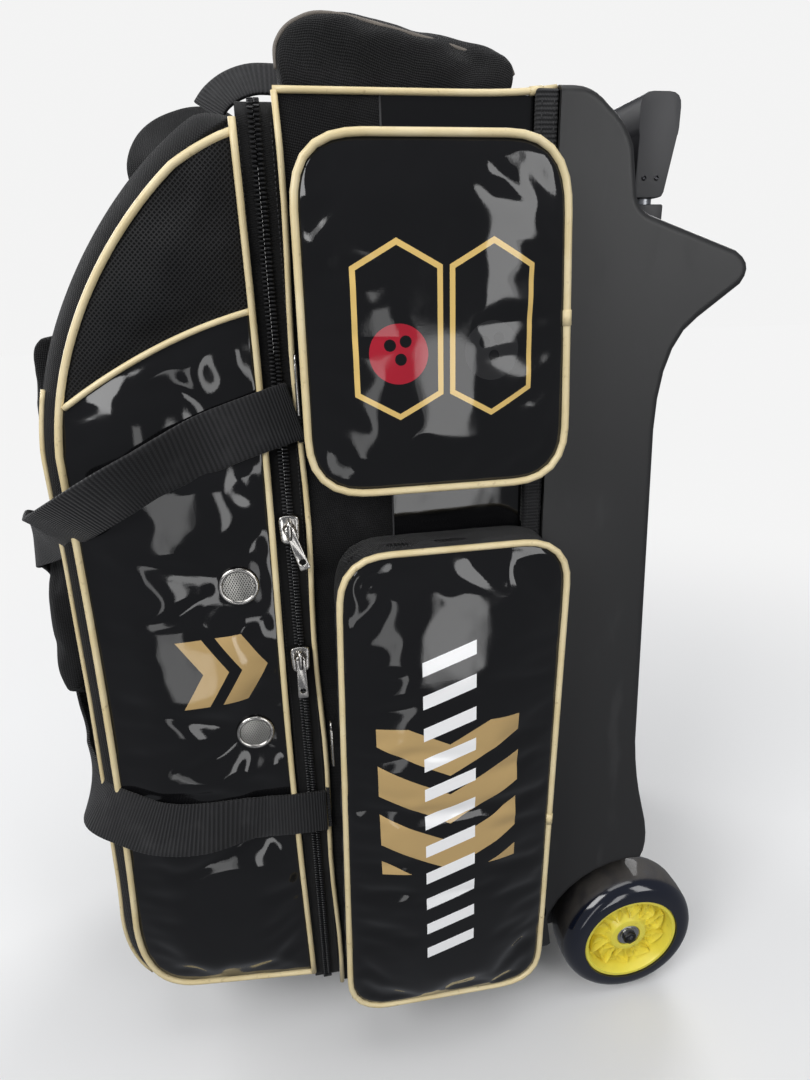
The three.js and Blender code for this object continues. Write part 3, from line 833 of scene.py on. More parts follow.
def evenly(points, pitch, closed=False):
    # the same line with its points a pitch apart
    points = [p.copy() for p in points] + ([points[0].copy()] if closed else [])
    total = sum((b - a).length for a, b in zip(points, points[1:]))
    count = max(2, round(total / pitch))
    wanted = [total * i / count for i in range(count + (0 if closed else 1))]
    line = []
    passed = 0
    i = 0
    for distance in wanted:
        while i < len(points) - 2 and passed + (points[i + 1] - points[i]).length < distance:
            passed += (points[i + 1] - points[i]).length
            i += 1
        length = (points[i + 1] - points[i]).length
        line.append(points[i].lerp(points[i + 1], min(1, (distance - passed) / length) if length else 0))
    return line


def sideways(points, distance, closed=True):
    # the line moved to the right of its direction
    count = len(points)
    moved = []
    for i, p in enumerate(points):
        before = points[i - 1] if closed or i else p
        after = points[(i + 1) % count] if closed or i < count - 1 else p
        along = (after - before).normalized()
        moved.append(p + mark(along.y, -along.x) * distance)
    return moved


def nearness(spot, line, closed=True):
    # distance from a spot to a line
    best = 1.0
    pairs = list(zip(line, line[1:] + (line[:1] if closed else [])))
    for a, b in pairs[: len(line) if closed else len(line) - 1]:
        step = b - a
        t = max(0, min(1, (spot - a).dot(step) / (step.length_squared or 1)))
        best = min(best, (a + step * t - spot).length)
    return best


def lift(points, y):
    return [Vector((p.x, y, p.y)) for p in points]


def flowing(points, steps=8):
    # a smooth curve through chosen points
    line = []
    last = len(points) - 1
    for i in range(last):
        a = points[max(i - 1, 0)]
        b = points[i]
        c = points[i + 1]
        d = points[min(i + 2, last)]
        for k in range(steps):
            t = k / steps
            line.append(b + (c - a) * (t / 2) + (a * 2 - b * 5 + c * 4 - d) * (t * t / 2)
                        + (b * 3 - a - c * 3 + d) * (t * t * t / 2))
    return line + [points[-1].copy()]


def ribbon(name, points, facing, width, thick, columns=8, steps=8):
    # a strap along chosen points, its flat side turned towards facing(spot)
    line = flowing(points, steps)
    total = sum((b - a).length for a, b in zip(line, line[1:]))
    rows = len(line) - 1
    frames = []
    for i, spot in enumerate(line):
        along = (line[min(i + 1, rows)] - line[max(i - 1, 0)]).normalized()
        frames.append(along.cross(facing(spot)).normalized())
    widths = width if callable(width) else (lambda t: width)

    def place(u, v):
        i = min(rows, round(v * rows))
        return line[i] + frames[i] * ((u - 0.5) * widths(i / rows))

    obj = sheetOf(name, columns, rows, place)
    for loop in obj.data.uv_layers.active.data:
        loop.uv = (loop.uv.y * total, loop.uv.x * 0.04)
    pick(obj)
    modify(obj, "SOLIDIFY", thickness=thick, offset=0)
    modify(obj, "BEVEL", width=thick * 0.3, segments=2, limit_method="ANGLE", angle_limit=math.radians(60))
    return smooth(obj, 50)


# ---- rear tray with its binding, cradle and feet
tray = {
    "round": 6 * mm, "roundFrom": 8 * mm, "binding": 1.6 * mm, "foam": 2.5 * mm, "foot": 2 * mm,
    "stitchIn": 3 * mm, "stitchEnd": 5 * mm, "stitchLift": 0.1 * mm,
}


def makeTray():
    low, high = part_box("base_tray")
    shell = workingCopy("base_tray", "rearTray")
    front = low.x + tray["roundFrom"]

    def onSide(a, b, y):
        flat = abs(abs(a.y) - y) < 0.4 * mm and abs(abs(b.y) - y) < 0.4 * mm
        return flat and max(a.x, b.x) > front and a.y * b.y > 0

    chooseEdges(shell, lambda a, b: onSide(a, b, high.y))
    bpy.ops.mesh.bevel(offset=tray["round"], segments=5, profile=0.55)
    done()
    smooth(shell, 30)
    modify(shell, "WEIGHTED_NORMAL", keep=True, keep_sharp=True)
    finish(shell, look["tray"], "tray_plastic", "bag", "base_tray")

    low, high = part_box("tray_binding")
    edge = rounded(workingCopy("tray_binding", "trayBinding"), tray["binding"])
    finish(edge, look["webbing"], "webbing", "bag", "tray_binding")
    rows = []
    for side in sides.values():
        y = side * (high.y + tray["stitchLift"])
        for x in [low.x + tray["stitchIn"], high.x - tray["stitchIn"]]:
            ends = [Vector((x, y, z)) for z in (low.z + tray["stitchEnd"], high.z - tray["stitchEnd"])]
            rows.append(stitches("row", ends, Vector((0, side, 0))))
    finish(joined("bindingStitches", *rows), look["thread"], "webbing", "bag")

    cradle = rounded(workingCopy("ball_cradle", "ballCradle"), tray["foam"], 2, 40)
    finish(cradle, look["foam"], "foam", "bag", "ball_cradle")
    for name in sides:
        foot = rounded(workingCopy("front_foot_" + name, "frontFoot_" + name), tray["foot"])
        finish(foot, look["tray"], "tray_plastic", "bag", "front_foot_" + name)
    print("tray made")


# ---- sewn body with its pockets and pouch
# "lean" moves a pocket's corners along X, from low in front round to high in front
pocket = {
    "upper": {"corner": 36 * mm, "lean": [0, 1.5 * mm, -6.5 * mm, 2 * mm],
              "drop": 0, "low": 0, "top": 0, "crown": 5 * mm, "slack": 0.02, "join": 0.5},
    "lower": {"corner": 34 * mm, "lean": [3.7 * mm, -6.5 * mm, 0.5 * mm, 16 * mm],
              "drop": 9 * mm, "low": 5 * mm, "top": 8 * mm, "crown": 7 * mm, "slack": 0.025, "join": 0.42},
}
pocketMake = {
    "outline": 9 * mm, "sunk": 0.8 * mm, "seam": 2.9 * mm, "wall": 4 * mm,
    "puff": 9 * mm, "sidePuff": 2.5 * mm,
    "piping": 2.4 * mm, "sleeve": 0.5 * mm, "sleeveHalf": 8 * mm, "voxel": 4.6 * mm, "zipDepth": 22 * mm,
    "chainOut": 0.6 * mm, "toothPitch": 2.6 * mm, "tooth": (1.5 * mm, 5.4 * mm, 1.4 * mm),
}


def pocketOutline(level):
    low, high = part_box(level + "_pocket_left")
    lean = pocket[level]["lean"]
    corners = [
        mark(low.x + lean[0], low.z + pocket[level]["drop"]),
        mark(high.x + lean[1], low.z + pocket[level]["low"]),
        mark(high.x + lean[2], high.z - pocket[level]["top"]),
        mark(low.x + lean[3], high.z - pocket[level]["top"]),
    ]
    return roundedCorners(corners, pocket[level]["corner"])


def makePocket(level, name, side):
    low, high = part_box(level + "_pocket_left")
    base = abs(high.y)
    seamY = abs(low.y) - pocketMake["seam"]
    outline = evenly(pocketOutline(level), pocketMake["outline"], closed=True)
    middle = mark((low.x + high.x) / 2, (low.z + high.z) / 2)
    half = mark((high.x - low.x) / 2, (high.z - low.z) / 2)
    faceY = seamY - pocketMake["wall"]
    block = plate("pad", outline, side * (base - pocketMake["sunk"]), side * seamY)
    pad = remeshed(block, pocketMake["voxel"])
    crown = pocket[level]["crown"]
    for vertex in pad.data.vertices:
        if abs(vertex.co.y) > faceY:
            u = (vertex.co.x - middle.x) / half.x
            v = (vertex.co.z - middle.y) / half.y
            rise = max(0, 1 - abs(u) ** 2.6) * max(0, 1 - abs(v) ** 3.4)
            vertex.co.y += side * crown * rise ** 0.7
    zipY = base + pocketMake["zipDepth"]
    rim = {}

    def toRim(spot):
        key = (round(spot.x, 4), round(spot.z, 4))
        if key not in rim:
            rim[key] = nearness(mark(spot.x, spot.z), outline)
        return rim[key]

    def held(spot):
        if abs(spot.y) < base + 4 * mm or abs(abs(spot.y) - zipY) < 3 * mm:
            return 1.0
        return 1.0 if abs(spot.y) > faceY and toRim(spot) < 6 * mm else 0.0

    def reach(spot):
        isFace = abs(spot.y) > faceY and toRim(spot) > 5 * mm
        return pocketMake["puff"] if isFace else pocketMake["sidePuff"]

    inflate(pad, held, reach, pocket[level]["slack"])
    relaxed(pad, 2)
    for face in pad.data.polygons:
        isFace = abs(face.center.y) > seamY - 2 * mm and toRim(face.center) > 1.5 * mm
        face.material_index = 0 if isFace else 1
    pad.name = level + "Pocket_" + name
    finish(pad, [look[level + "Patent"], look["nylon"]], "patent", "bag", level + "_pocket_" + name)
    subdivided(pad)

    trimY = side * (abs(low.y) - pocketMake["piping"])
    trim = piped(level + "PocketPiping_" + name, lift(outline, trimY), pocketMake["piping"], closed=True)
    finish(trim, look["piping"], "patent", "bag")
    # the two ends of the piping meet in a short sleeve on the rear edge
    joinZ = low.z + (high.z - low.z) * pocket[level]["join"]
    rear = [p for p in outline if p.x > middle.x and abs(p.y - joinZ) < pocketMake["sleeveHalf"]]
    sleeveRadius = pocketMake["piping"] + pocketMake["sleeve"]
    sleeve = piped(level + "PipingSleeve_" + name, lift(rear, trimY), sleeveRadius)
    finish(sleeve, look["piping"], "patent", "bag")

    # chain of the pocket's zip, round its front and top edges
    beside = sideways(outline, -pocketMake["chainOut"])
    front = [p for p in beside if p.x < middle.x or p.y > middle.y + half.y * 0.8]
    front = sorted(front, key=lambda p: math.atan2(p.y - middle.y, p.x - middle.x) % math.tau, reverse=True)
    chain = lift(front, side * zipY)
    places = []
    for spot, along in spaced(chain, pocketMake["toothPitch"]):
        isUpright = abs(along.x) < 0.5
        out = Vector((spot.x - middle.x, 0, (spot.z - middle.y) * 0.4)) if isUpright else Vector((0, 0, 1))
        places.append(seated(spot, along, out))
    teeth = repeated(level + "PocketZip_" + name, toothUnit(*pocketMake["tooth"]), places)
    finish(teeth, look["chain"], "zip", "bag")


def toothUnit(length, width, height):
    # a moulded tooth: length along the chain, width across it, height out of it
    deselect()
    bpy.ops.mesh.primitive_cube_add(size=1)
    unit = named("tooth")
    unit.scale = (length, width, height)
    settle(unit)
    return modify(unit, "BEVEL", width=min(length, height) * 0.25, segments=1)


def softPanel(name, columns, rows, place, out, wall):
    # a sewn panel: a slightly uneven sheet with a thickness
    def uneven(u, v):
        spot = place(u, v)
        edge = min(1, 9 * min(u, 1 - u)) * min(1, 9 * min(v, 1 - v))
        return spot + out * (body["sag"] * edge * (noise.noise(spot * 18) - 0.35))

    obj = sheetOf(name, columns, rows, uneven)
    pick(obj)
    centre = obj.data.polygons[len(obj.data.polygons) // 2]
    if centre.normal.dot(out) < 0:
        obj.data.flip_normals()
    modify(obj, "SOLIDIFY", thickness=wall, offset=-1)
    return smooth(obj, 45)


body = {
    "sag": 1.3 * mm, "wall": 3.2 * mm, "lap": 3 * mm,
    "nylonEdge": -5 * mm, "seam": 0.7 * mm, "seamLift": 0.2 * mm,
    "piping": 2 * mm, "pipingLift": 1.2 * mm, "ripple": 1.2 * mm, "topLift": 0.6 * mm, "topRise": 3.5 * mm,
    "topOut": 0.8 * mm, "sleeve": 0.5 * mm,
}


def makeBody():
    low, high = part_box("body_side_left")
    y = abs(low.y)
    for name, side in sides.items():
        def place(u, v, side=side):
            return Vector((low.x + (high.x - low.x) * u, side * y, low.z + (high.z - low.z) * v))

        panel = softPanel("bodySide_" + name, 30, 110, place, Vector((0, side, 0)), body["wall"])
        for face in panel.data.polygons:
            face.material_index = 0 if face.center.x > body["nylonEdge"] else 1
        finish(panel, [look["patent"], look["nylon"]], "patent", "bag", "body_side_" + name)
        seamY = side * (y + body["seamLift"])
        ends = [Vector((body["nylonEdge"], seamY, z)) for z in (low.z + 2 * mm, high.z)]
        finish(piped("bodySeam_" + name, ends, body["seam"]), look["thread"], "webbing", "bag")
        # piping along the zip edge, and along the top edge up to the binding
        edgeX = low.x + body["piping"] * 0.4
        column = []
        for i in range(25):
            x = edgeX + body["ripple"] * math.sin(i * 0.9)
            column.append(Vector((x, side * (y + body["pipingLift"]), high.z + (low.z - high.z) * i / 24)))
        finish(piped("bodyPiping_" + name, column, body["piping"]), look["piping"], "patent", "bag")
        over = []
        for i in range(21):
            t = i / 20
            z = high.z + body["topLift"] + body["topRise"] * (2 * t - 1) ** 4 * (t > 0.5)
            over.append(Vector((low.x + (high.x - low.x) * t, side * (y + body["topOut"]), z)))
        finish(piped("topPiping_" + name, over, body["piping"]), look["piping"], "patent", "bag")
        # a short sleeve covers the piping's end
        sleeve = piped("topPipingSleeve_" + name, over[-3:-1], body["piping"] + body["sleeve"])
        finish(sleeve, look["piping"], "patent", "bag")
    for nodeName, name, up in [("body_top", "bodyTop", 1), ("body_bottom", "bodyBottom", -1)]:
        low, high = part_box(nodeName)
        z = high.z if up > 0 else low.z

        def place(u, v):
            y = (low.y - body["lap"]) + (high.y - low.y + 2 * body["lap"]) * v
            return Vector((low.x + (high.x - low.x) * u, y, z))

        panel = softPanel(name, 24, 40, place, Vector((0, 0, up)), body["wall"])
        finish(panel, look["nylon"], "nylon", "bag", nodeName)
    for level in pocket:
        for name, side in sides.items():
            makePocket(level, name, side)
    makePouch()
    print("body made")


pouch = {
    "voxel": 5 * mm, "bevel": 6 * mm, "hem": 7 * mm, "puff": 6 * mm, "slack": 0.03,
    "rim": 1.3 * mm, "rimIn": 4.5 * mm, "rimUp": 0.4 * mm, "rimBelow": 6 * mm,
    "tab": [(4 * mm, 14 * mm), (-12 * mm, 14 * mm), (-26 * mm, 18 * mm), (-37 * mm, 25 * mm),
            (-44 * mm, 33 * mm)],
    "tabY": -40 * mm, "tabWidth": 32 * mm, "tabThick": 2.2 * mm, "tabCentre": (-8 * mm, 60 * mm),
}


def pouchProfile(low, high):
    # the pouch seen from the side, from its lower front edge over the top to its lower rear edge
    return [
        mark(low.x + 1 * mm, low.z + 14 * mm),
        mark(low.x + 2 * mm, high.z - 14 * mm),
        mark(low.x + 14 * mm, high.z - 3 * mm),
        mark(low.x + 40 * mm, high.z - 0.5 * mm),
        mark(high.x - 30 * mm, high.z - 15 * mm),
        mark(high.x - 8 * mm, high.z - 20 * mm),
        mark(high.x - 1 * mm, low.z + 14 * mm),
    ]


def makePouch():
    low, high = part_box("top_pouch")
    copy = workingCopy("top_pouch", "topPouch")
    chooseEdges(copy, lambda a, b: abs(a.y - b.y) < mm and min(a.z, b.z) > low.z + 2 * mm)
    bpy.ops.mesh.bevel(offset=pouch["bevel"], segments=2)
    done()
    remeshed(copy, pouch["voxel"])

    def held(spot):
        return 1.0 if spot.z < low.z + pouch["hem"] else 0.0

    inflate(copy, held, lambda spot: pouch["puff"], pouch["slack"])
    relaxed(copy, 3)
    finish(copy, look["nylon"], "nylon", "bag", "top_pouch")
    subdivided(copy)
    for name, side in sides.items():
        rim = []
        for spot in flowing(pouchProfile(low, high), 7):
            y = skin(copy, spot.x * 0.97 + 0.3 * mm, spot.y - pouch["rimBelow"], side, side * high.y)
            rim.append(Vector((spot.x, side * (abs(y) - pouch["rimIn"]), spot.y + pouch["rimUp"])))
        finish(piped("pouchRim_" + name, rim, pouch["rim"]), look["rimPiping"], "nylon", "bag")
    # webbing tab from the pouch's front, over the zip
    tab = [Vector((low.x + x, pouch["tabY"], high.z - drop)) for x, drop in pouch["tab"]]
    x, drop = pouch["tabCentre"]
    centre = Vector((low.x + x, pouch["tabY"], high.z - drop))

    def facing(spot):
        return (spot - centre).normalized() + Vector((0, -1, 0))

    strip = ribbon("pouchTab", tab, facing, pouch["tabWidth"], pouch["tabThick"])
    finish(strip, look["strap"], "webbing", "bag")


# ---- zip between the body and the lid
zipper = {
    "tape": 1.1 * mm, "tapeIn": 0.8 * mm, "corner": 12 * mm, "pitch": 2.5 * mm, "toothWidth": 3.6 * mm,
    "toothLength": 1.35 * mm, "toothHeight": 1.7 * mm, "chainOut": 0.2 * mm, "hinge": 14 * mm,
    "stitch": (3 * mm, 0.35 * mm), "stitchIn": 1.4 * mm, "stitchEnd": 14 * mm, "middle": 0.4,
}


def zipRing(inset):
    # the zip's path round the opening, in Y and Z, from low on the far side over the top to the near side
    low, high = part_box("zip_body_half")
    left, right, bottom, top = low.y + inset, high.y - inset, low.z + inset, high.z - inset
    corners = [mark(right, bottom), mark(right, top), mark(left, top), mark(left, bottom)]
    return roundedCorners(corners, zipper["corner"], 5)


def makeZip():
    low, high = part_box("zip_body_half")
    lidLow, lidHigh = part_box("zip_lid_half")
    centre = Vector((0, 0, zipper["middle"]))
    for half, x0, x1, owner in [("body", low.x, high.x, "bag"), ("lid", lidHigh.x, lidLow.x, "lid")]:
        ring = evenly(zipRing(zipper["tapeIn"]), 8 * mm, closed=True)
        count = len(ring)

        def place(u, v):
            spot = ring[round(v * count) % count]
            return Vector((x0 + (x1 - x0) * u, spot.x, spot.y))

        tape = outward(sheetOf("zipTape_" + half, 4, count, place), 1e-5)
        modify(tape, "SOLIDIFY", thickness=zipper["tape"], offset=-1)
        smooth(tape, 50)
        finish(tape, look["tape"], "zip", owner, "zip_" + half + "_half")
        direction = 1 if x1 > x0 else -1
        chainX = x0 + direction * zipper["toothWidth"] * 0.42
        path = [Vector((chainX, p.x, p.y)) for p in evenly(zipRing(-zipper["chainOut"]), 4 * mm, closed=True)]
        # the two halves' teeth sit in each other's gaps, and the hinge side has none
        shift = zipper["pitch"] / 2 if half == "lid" else 0
        places = []
        for spot, along in spaced(path + path[:1], zipper["pitch"]):
            if spot.y < high.y - zipper["hinge"]:
                out = along.cross(Vector((-1, 0, 0)))
                if out.dot(Vector((0, spot.y, spot.z)) - centre) < 0:
                    out = -out
                places.append(seated(spot + along * shift, along, out))
        tooth = toothUnit(zipper["toothLength"], zipper["toothWidth"], zipper["toothHeight"])
        finish(repeated("zipTeeth_" + half, tooth, places), look["chain"], "zip", owner)
        # sewn edge of the tape on the near side
        edgeX = x1 - direction * zipper["stitchIn"]
        nearY = low.y + 0.5 * mm
        heights = (low.z + zipper["stitchEnd"], high.z - zipper["stitchEnd"])
        ends = [Vector((edgeX, nearY, z)) for z in heights]
        row = stitches("zipStitches_" + half, ends, Vector((0, -1, 0)), *zipper["stitch"])
        finish(row, look["thread"], "zip", owner)
    for level in ["upper", "lower"]:
        makeSlider(level)
    print("zip made")


slider = {
    "round": 0.9 * mm, "inset": 1.3 * mm, "sunk": 0.5 * mm, "wire": 1.15 * mm, "arch": 3.4 * mm,
    "ring": (3.1 * mm, 3.6 * mm), "ringDrop": 1.2 * mm, "lean": {"upper": 1.2 * mm, "lower": 0},
}


def makeSlider(level):
    low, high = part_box("zip_slider_" + level)
    x = (low.x + high.x) / 2
    plateCopy = rounded(workingCopy("zip_slider_" + level, "zipSlider_" + level), slider["round"], 3)
    chooseFaces(plateCopy, lambda face: face.normal.y < -0.9 and face.area > 2e-5)
    bpy.ops.mesh.inset(thickness=slider["inset"], depth=-slider["sunk"])
    done()
    smooth(plateCopy, 40)
    # the arch that carries the pull
    crown = low.y - slider["arch"]
    shoulder = low.y - slider["arch"] * 0.8
    foot = low.y + 0.8 * mm
    bridge = flowing([
        Vector((x, foot, high.z - 3.5 * mm)),
        Vector((x, shoulder, high.z - 5 * mm)),
        Vector((x, crown, (low.z + high.z) / 2)),
        Vector((x, shoulder, low.z + 5 * mm)),
        Vector((x, foot, low.z + 3.5 * mm)),
    ])
    made = joined("zipSlider_" + level, plateCopy, piped("arch", bridge, slider["wire"] * 1.5))
    finish(made, look["nickel"], "zip_metal", "slider_" + level, "zip_slider_" + level)
    tab = rounded(workingCopy("zip_pull_" + level, "zipPull_" + level), 0.5 * mm, 3)
    # ring that ties the pull to the arch
    low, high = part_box("zip_pull_" + level)
    wide, tall = slider["ring"]
    top = Vector((x, (low.y + high.y) / 2, high.z if level == "lower" else high.z - 1.5 * mm))
    loop = []
    for i in range(20):
        turn = math.tau * i / 20
        across = wide * math.cos(turn) + slider["lean"][level] * (math.sin(turn) < 0)
        loop.append(top + Vector((across, 0, tall * math.sin(turn) - slider["ringDrop"])))
    made = joined("zipPull_" + level, tab, piped("ring", loop, slider["wire"] * 0.8, closed=True))
    finish(made, look["nickel"], "zip_metal", "pull_" + level, "zip_pull_" + level)


pocketPull = {"round": 0.5 * mm, "wire": 0.9 * mm, "ring": (2.6 * mm, 2.8 * mm), "rise": 2 * mm}


def makePocketPulls():
    for node in [n for n in nodes if n.startswith("pocket_pull_")]:
        name = node.replace("pocket_pull_", "pocketPull_")
        tab = rounded(workingCopy(node, name), pocketPull["round"], 2)
        low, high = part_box(node)
        centre = Vector(((low.x + high.x) / 2, (low.y + high.y) / 2, high.z + pocketPull["rise"]))
        wide, tall = pocketPull["ring"]
        turns = [math.tau * i / 16 for i in range(16)]
        loop = [centre + Vector((0, wide * math.cos(turn), tall * math.sin(turn))) for turn in turns]
        ring = piped("ring", loop, pocketPull["wire"], closed=True)
        finish(joined(name, tab, ring), look["nickel"], "zip_metal", node, node)


# ---- lid
lid = {
    "depth": 127 * mm, "hip": (72 * mm, 698 * mm), "brow": (9 * mm, 628 * mm), "shoulder": 540 * mm,
    "belly": 330 * mm, "shin": 150 * mm, "toe": 12 * mm, "toeIn": 30 * mm,
    "seamFront": 556 * mm, "seamRear": 624 * mm, "seamBow": 9 * mm,
    "wall": 10 * mm, "sunk": 0.3 * mm, "voxel": 4.4 * mm, "swell": 3 * mm, "puff": 8 * mm, "slack": 0.035,
    "piping": 2.4 * mm, "dip": 7 * mm, "ripple": 1.5 * mm,
    "thinPiping": 1.7 * mm, "thinY": 118 * mm, "trimLow": 82 * mm, "trimHigh": 585 * mm,
    "band": 18 * mm, "bandShoulder": 11, "bandWall": 5 * mm, "bandColumns": 28, "wobble": 1.6 * mm,
}
# how far the cloth is held round a vent, a strap's end and a seam, and how far it then takes to be free
calmRound = {
    "rim": (4 * mm, 26 * mm), "vent": (15 * mm, 22 * mm), "strap": (26 * mm, 22 * mm), "seam": (1.5 * mm, 14 * mm),
}


def lidEdge():
    # the edge of the lid's side panel, from the top of the zip over the front to the bottom of the zip
    low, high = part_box("lid_side_left")
    rear = high.x
    front = rear - lid["depth"]
    start = mark(rear, high.z)
    knee = mark(rear - 8 * mm, high.z - 4 * mm)
    hip = mark(front + lid["hip"][0], lid["hip"][1])
    brow = mark(front + lid["brow"][0], lid["brow"][1])
    shoulder = mark(front, lid["shoulder"])
    shin = mark(front - lid["toe"], lid["shin"])
    toe = mark(front + lid["toeIn"], low.z + lid["toe"])
    line = [start, knee]
    line += cubic(knee, hip, brow, shoulder, 24)
    line += quad(shoulder, mark(front, lid["belly"]), shin, 20)
    line += quad(shin, mark(front - lid["toe"] - 2 * mm, low.z + 16 * mm), toe, 12)
    line += straight(toe, mark(rear, low.z), 6)
    return line


def seamHeight(x):
    # the seam between the mesh quarter and the patent below it
    low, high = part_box("lid_side_left")
    t = (x - low.x) / (high.x - low.x)
    return lid["seamFront"] + (lid["seamRear"] - lid["seamFront"]) * t + lid["seamBow"] * 4 * t * (1 - t)


def makeLidSide(name, side, edge):
    low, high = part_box("lid_side_left")
    y = abs(low.y)
    outline = edge + straight(edge[-1], edge[0], 60)[:-1]
    inner = sideways(evenly(outline, 7 * mm, closed=True), -0.6 * mm)
    pad = plate("pad", inner, side * (y - lid["wall"]), side * (y - lid["sunk"]))
    remeshed(pad, lid["voxel"])
    vents = []
    for level in ("upper", "lower"):
        ventLow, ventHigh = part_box("vent_" + level + "_left")
        vents.append(mark((ventLow.x + ventHigh.x) / 2, (ventLow.z + ventHigh.z) / 2))
    # the cloth is also pressed flat under the rear ends of the strap
    ends = [mark(line[1][0] - 8 * mm, line[1][1]) for line in (strap["upper"], strap["lower"])]
    face = y - 4 * mm
    far = {}

    def toRim(spot):
        key = (round(spot.x, 4), round(spot.z, 4))
        if key not in far:
            far[key] = nearness(mark(spot.x, spot.z), inner)
        return far[key]

    def freeOf(kind, distance):
        tied, free = calmRound[kind]
        return max(0, distance - tied) / free

    def calm(spot):
        # 0 where the cloth is tied down, 1 where it is free
        flat = mark(spot.x, spot.z)
        free = [1, freeOf("rim", toRim(spot)), freeOf("seam", abs(spot.z - seamHeight(spot.x)))]
        free += [freeOf("vent", (flat - centre).length) for centre in vents]
        free += [freeOf("strap", (flat - end).length) for end in ends]
        return min(free)

    def held(spot):
        return 1.0 if abs(spot.y) < face or calm(spot) < 0.12 else 0.0

    def reach(spot):
        free = calm(spot)
        return lid["puff"] * (0.25 + 0.75 * min(1, free * 1.4)) if free > 0.12 else 0.4 * mm

    for vertex in pad.data.vertices:
        if abs(vertex.co.y) > face:
            vertex.co.y += side * lid["swell"] * calm(vertex.co) ** 0.7
    inflate(pad, held, reach, lid["slack"])
    relaxed(pad, 5)
    for polygon in pad.data.polygons:
        middle = polygon.center
        isMesh = middle.z > seamHeight(middle.x) and abs(middle.y) > y - 6 * mm
        polygon.material_index = 1 if isMesh else 0
    pad.name = "lidSide_" + name
    finish(pad, [look["lidPatent"], look["mesh"]], "patent", "lid", "lid_side_" + name)
    subdivided(pad)

    # piping on the front edge, on the zip edge and on the seam
    front = lift(evenly(edge, 5 * mm), side * (y - 0.6 * mm))
    for i, spot in enumerate(front[:9]):
        spot.z -= lid["dip"] * (1 - i / 9)
    finish(piped("lidPiping_" + name, front, lid["piping"]), look["piping"], "patent", "lid")
    column = []
    for i in range(41):
        t = i / 40
        x = high.x - lid["ripple"] + lid["ripple"] * math.sin(t * 7)
        z = high.z - 1 * mm + (low.z - high.z + 2 * mm) * t
        column.append(Vector((x, side * (y + body["pipingLift"]), z)))
    finish(piped("lidZipPiping_" + name, column, lid["piping"] * 0.95), look["piping"], "patent", "lid")
    line = []
    frontX = min(edge, key=lambda p: abs(p.y - seamHeight(p.x)) + (p.x > high.x - 60 * mm)).x
    for i in range(37):
        x = frontX + 2.5 * mm + (high.x - 3.5 * mm - frontX) * i / 36
        z = seamHeight(x)
        line.append(Vector((x, skin(pad, x, z, side, side * y) + side * 0.9 * mm, z)))
    finish(piped("lidSeamPiping_" + name, line, lid["thinPiping"] * 1.15), look["piping"], "patent", "lid")
    for level in ("upper", "lower"):
        makeVent(level, name, side)
    return pad


vent = {"rim": 1.6 * mm}


def makeVent(level, name, side):
    low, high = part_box("vent_" + level + "_" + name)
    radius = (high.x - low.x) / 2
    centre = ((low.x + high.x) / 2, side * min(abs(low.y), abs(high.y)), (low.z + high.z) / 2)
    deep = side * (high.y - low.y)
    profile = []
    for i in range(12):
        turn = math.tau * i / 12
        reach = radius - vent["rim"] + vent["rim"] * math.cos(turn)
        profile.append((reach, deep * (0.42 + 0.5 * math.sin(turn))))
    ring = turned("ventRing_" + level + "_" + name, profile, centre, 48)
    finish(ring, look["nickel"], "zip_metal", "lid", "vent_" + level + "_" + name)
    inner = radius - vent["rim"] * 1.2
    middle = 0.2 * mm
    dish = [(middle, 0), (inner, 0), (inner, deep * 0.5), (inner * 0.6, deep * 0.72), (middle, deep * 0.8)]
    cap = turned("ventMesh_" + level + "_" + name, dish, centre, 48)
    finish(cap, look["vent"], "zip_metal", "lid")


def makeLidFront(edge):
    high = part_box("lid_front")[1]
    halfWidth = high.y
    line = evenly(edge, 6 * mm)
    rows = len(line) - 1
    outs = []
    for i in range(rows + 1):
        along = (line[min(i + 1, rows)] - line[max(i - 1, 0)]).normalized()
        outs.append(mark(along.y, -along.x))
    outs[0] = mark(0, 1)
    outs[-1] = mark(0, -1)
    # the edge runs anticlockwise over the front, so its right-hand side is the outside
    probe = line[rows // 2] + outs[rows // 2] * 0.01
    sign = 1 if probe.x < line[rows // 2].x else -1
    columns = lid["bandColumns"]
    spread = [(1 - math.cos(math.pi * i / columns)) / 2 for i in range(columns + 1)]

    def place(u, v):
        i = min(rows, round(v * rows))
        across = (spread[round(u * columns)] * 2 - 1)
        rise = lid["band"] * (1 - abs(across) ** lid["bandShoulder"])
        spot = line[i]
        uneven = noise.noise(Vector((spot.x * 14, across * 2.2, spot.y * 14)))
        wobble = uneven * lid["wobble"] * (1 - abs(across) ** 6)
        out = outs[i] if 0 < i < rows else outs[i] * sign
        spot = spot + out * (sign * (rise * min(1, (i + 0.6) / 3, (rows - i + 0.6) / 3) + wobble))
        return Vector((min(spot.x, high.x), across * halfWidth, spot.y))

    band = sheetOf("lidFront", columns, rows, place)
    if sum(face.normal.x for face in band.data.polygons) > 0:
        band.data.flip_normals()
    modify(band, "SOLIDIFY", thickness=lid["bandWall"], offset=-1)
    finish(band, look["nylon"], "nylon", "lid", "lid_front")
    subdivided(band)
    u = (lid["thinY"] / halfWidth + 1) / 2
    column = min(range(columns + 1), key=lambda i: abs(spread[i] - u)) / columns
    for name, side in sides.items():
        trim = []
        for i in range(rows + 1):
            spot = place(column if side > 0 else 1 - column, i / rows)
            if lid["trimLow"] < spot.z < lid["trimHigh"]:
                out = outs[i] * sign
                trim.append(spot + Vector((out.x, 0, out.y)) * 0.6 * mm)
        finish(piped("frontPiping_" + name, trim, lid["thinPiping"]), look["piping"], "nylon", "lid")


frontPocket = {
    "round": 17 * mm, "roundFrom": 25 * mm, "voxel": 5 * mm, "hem": 27 * mm, "puff": 4 * mm, "slack": 0.03,
}


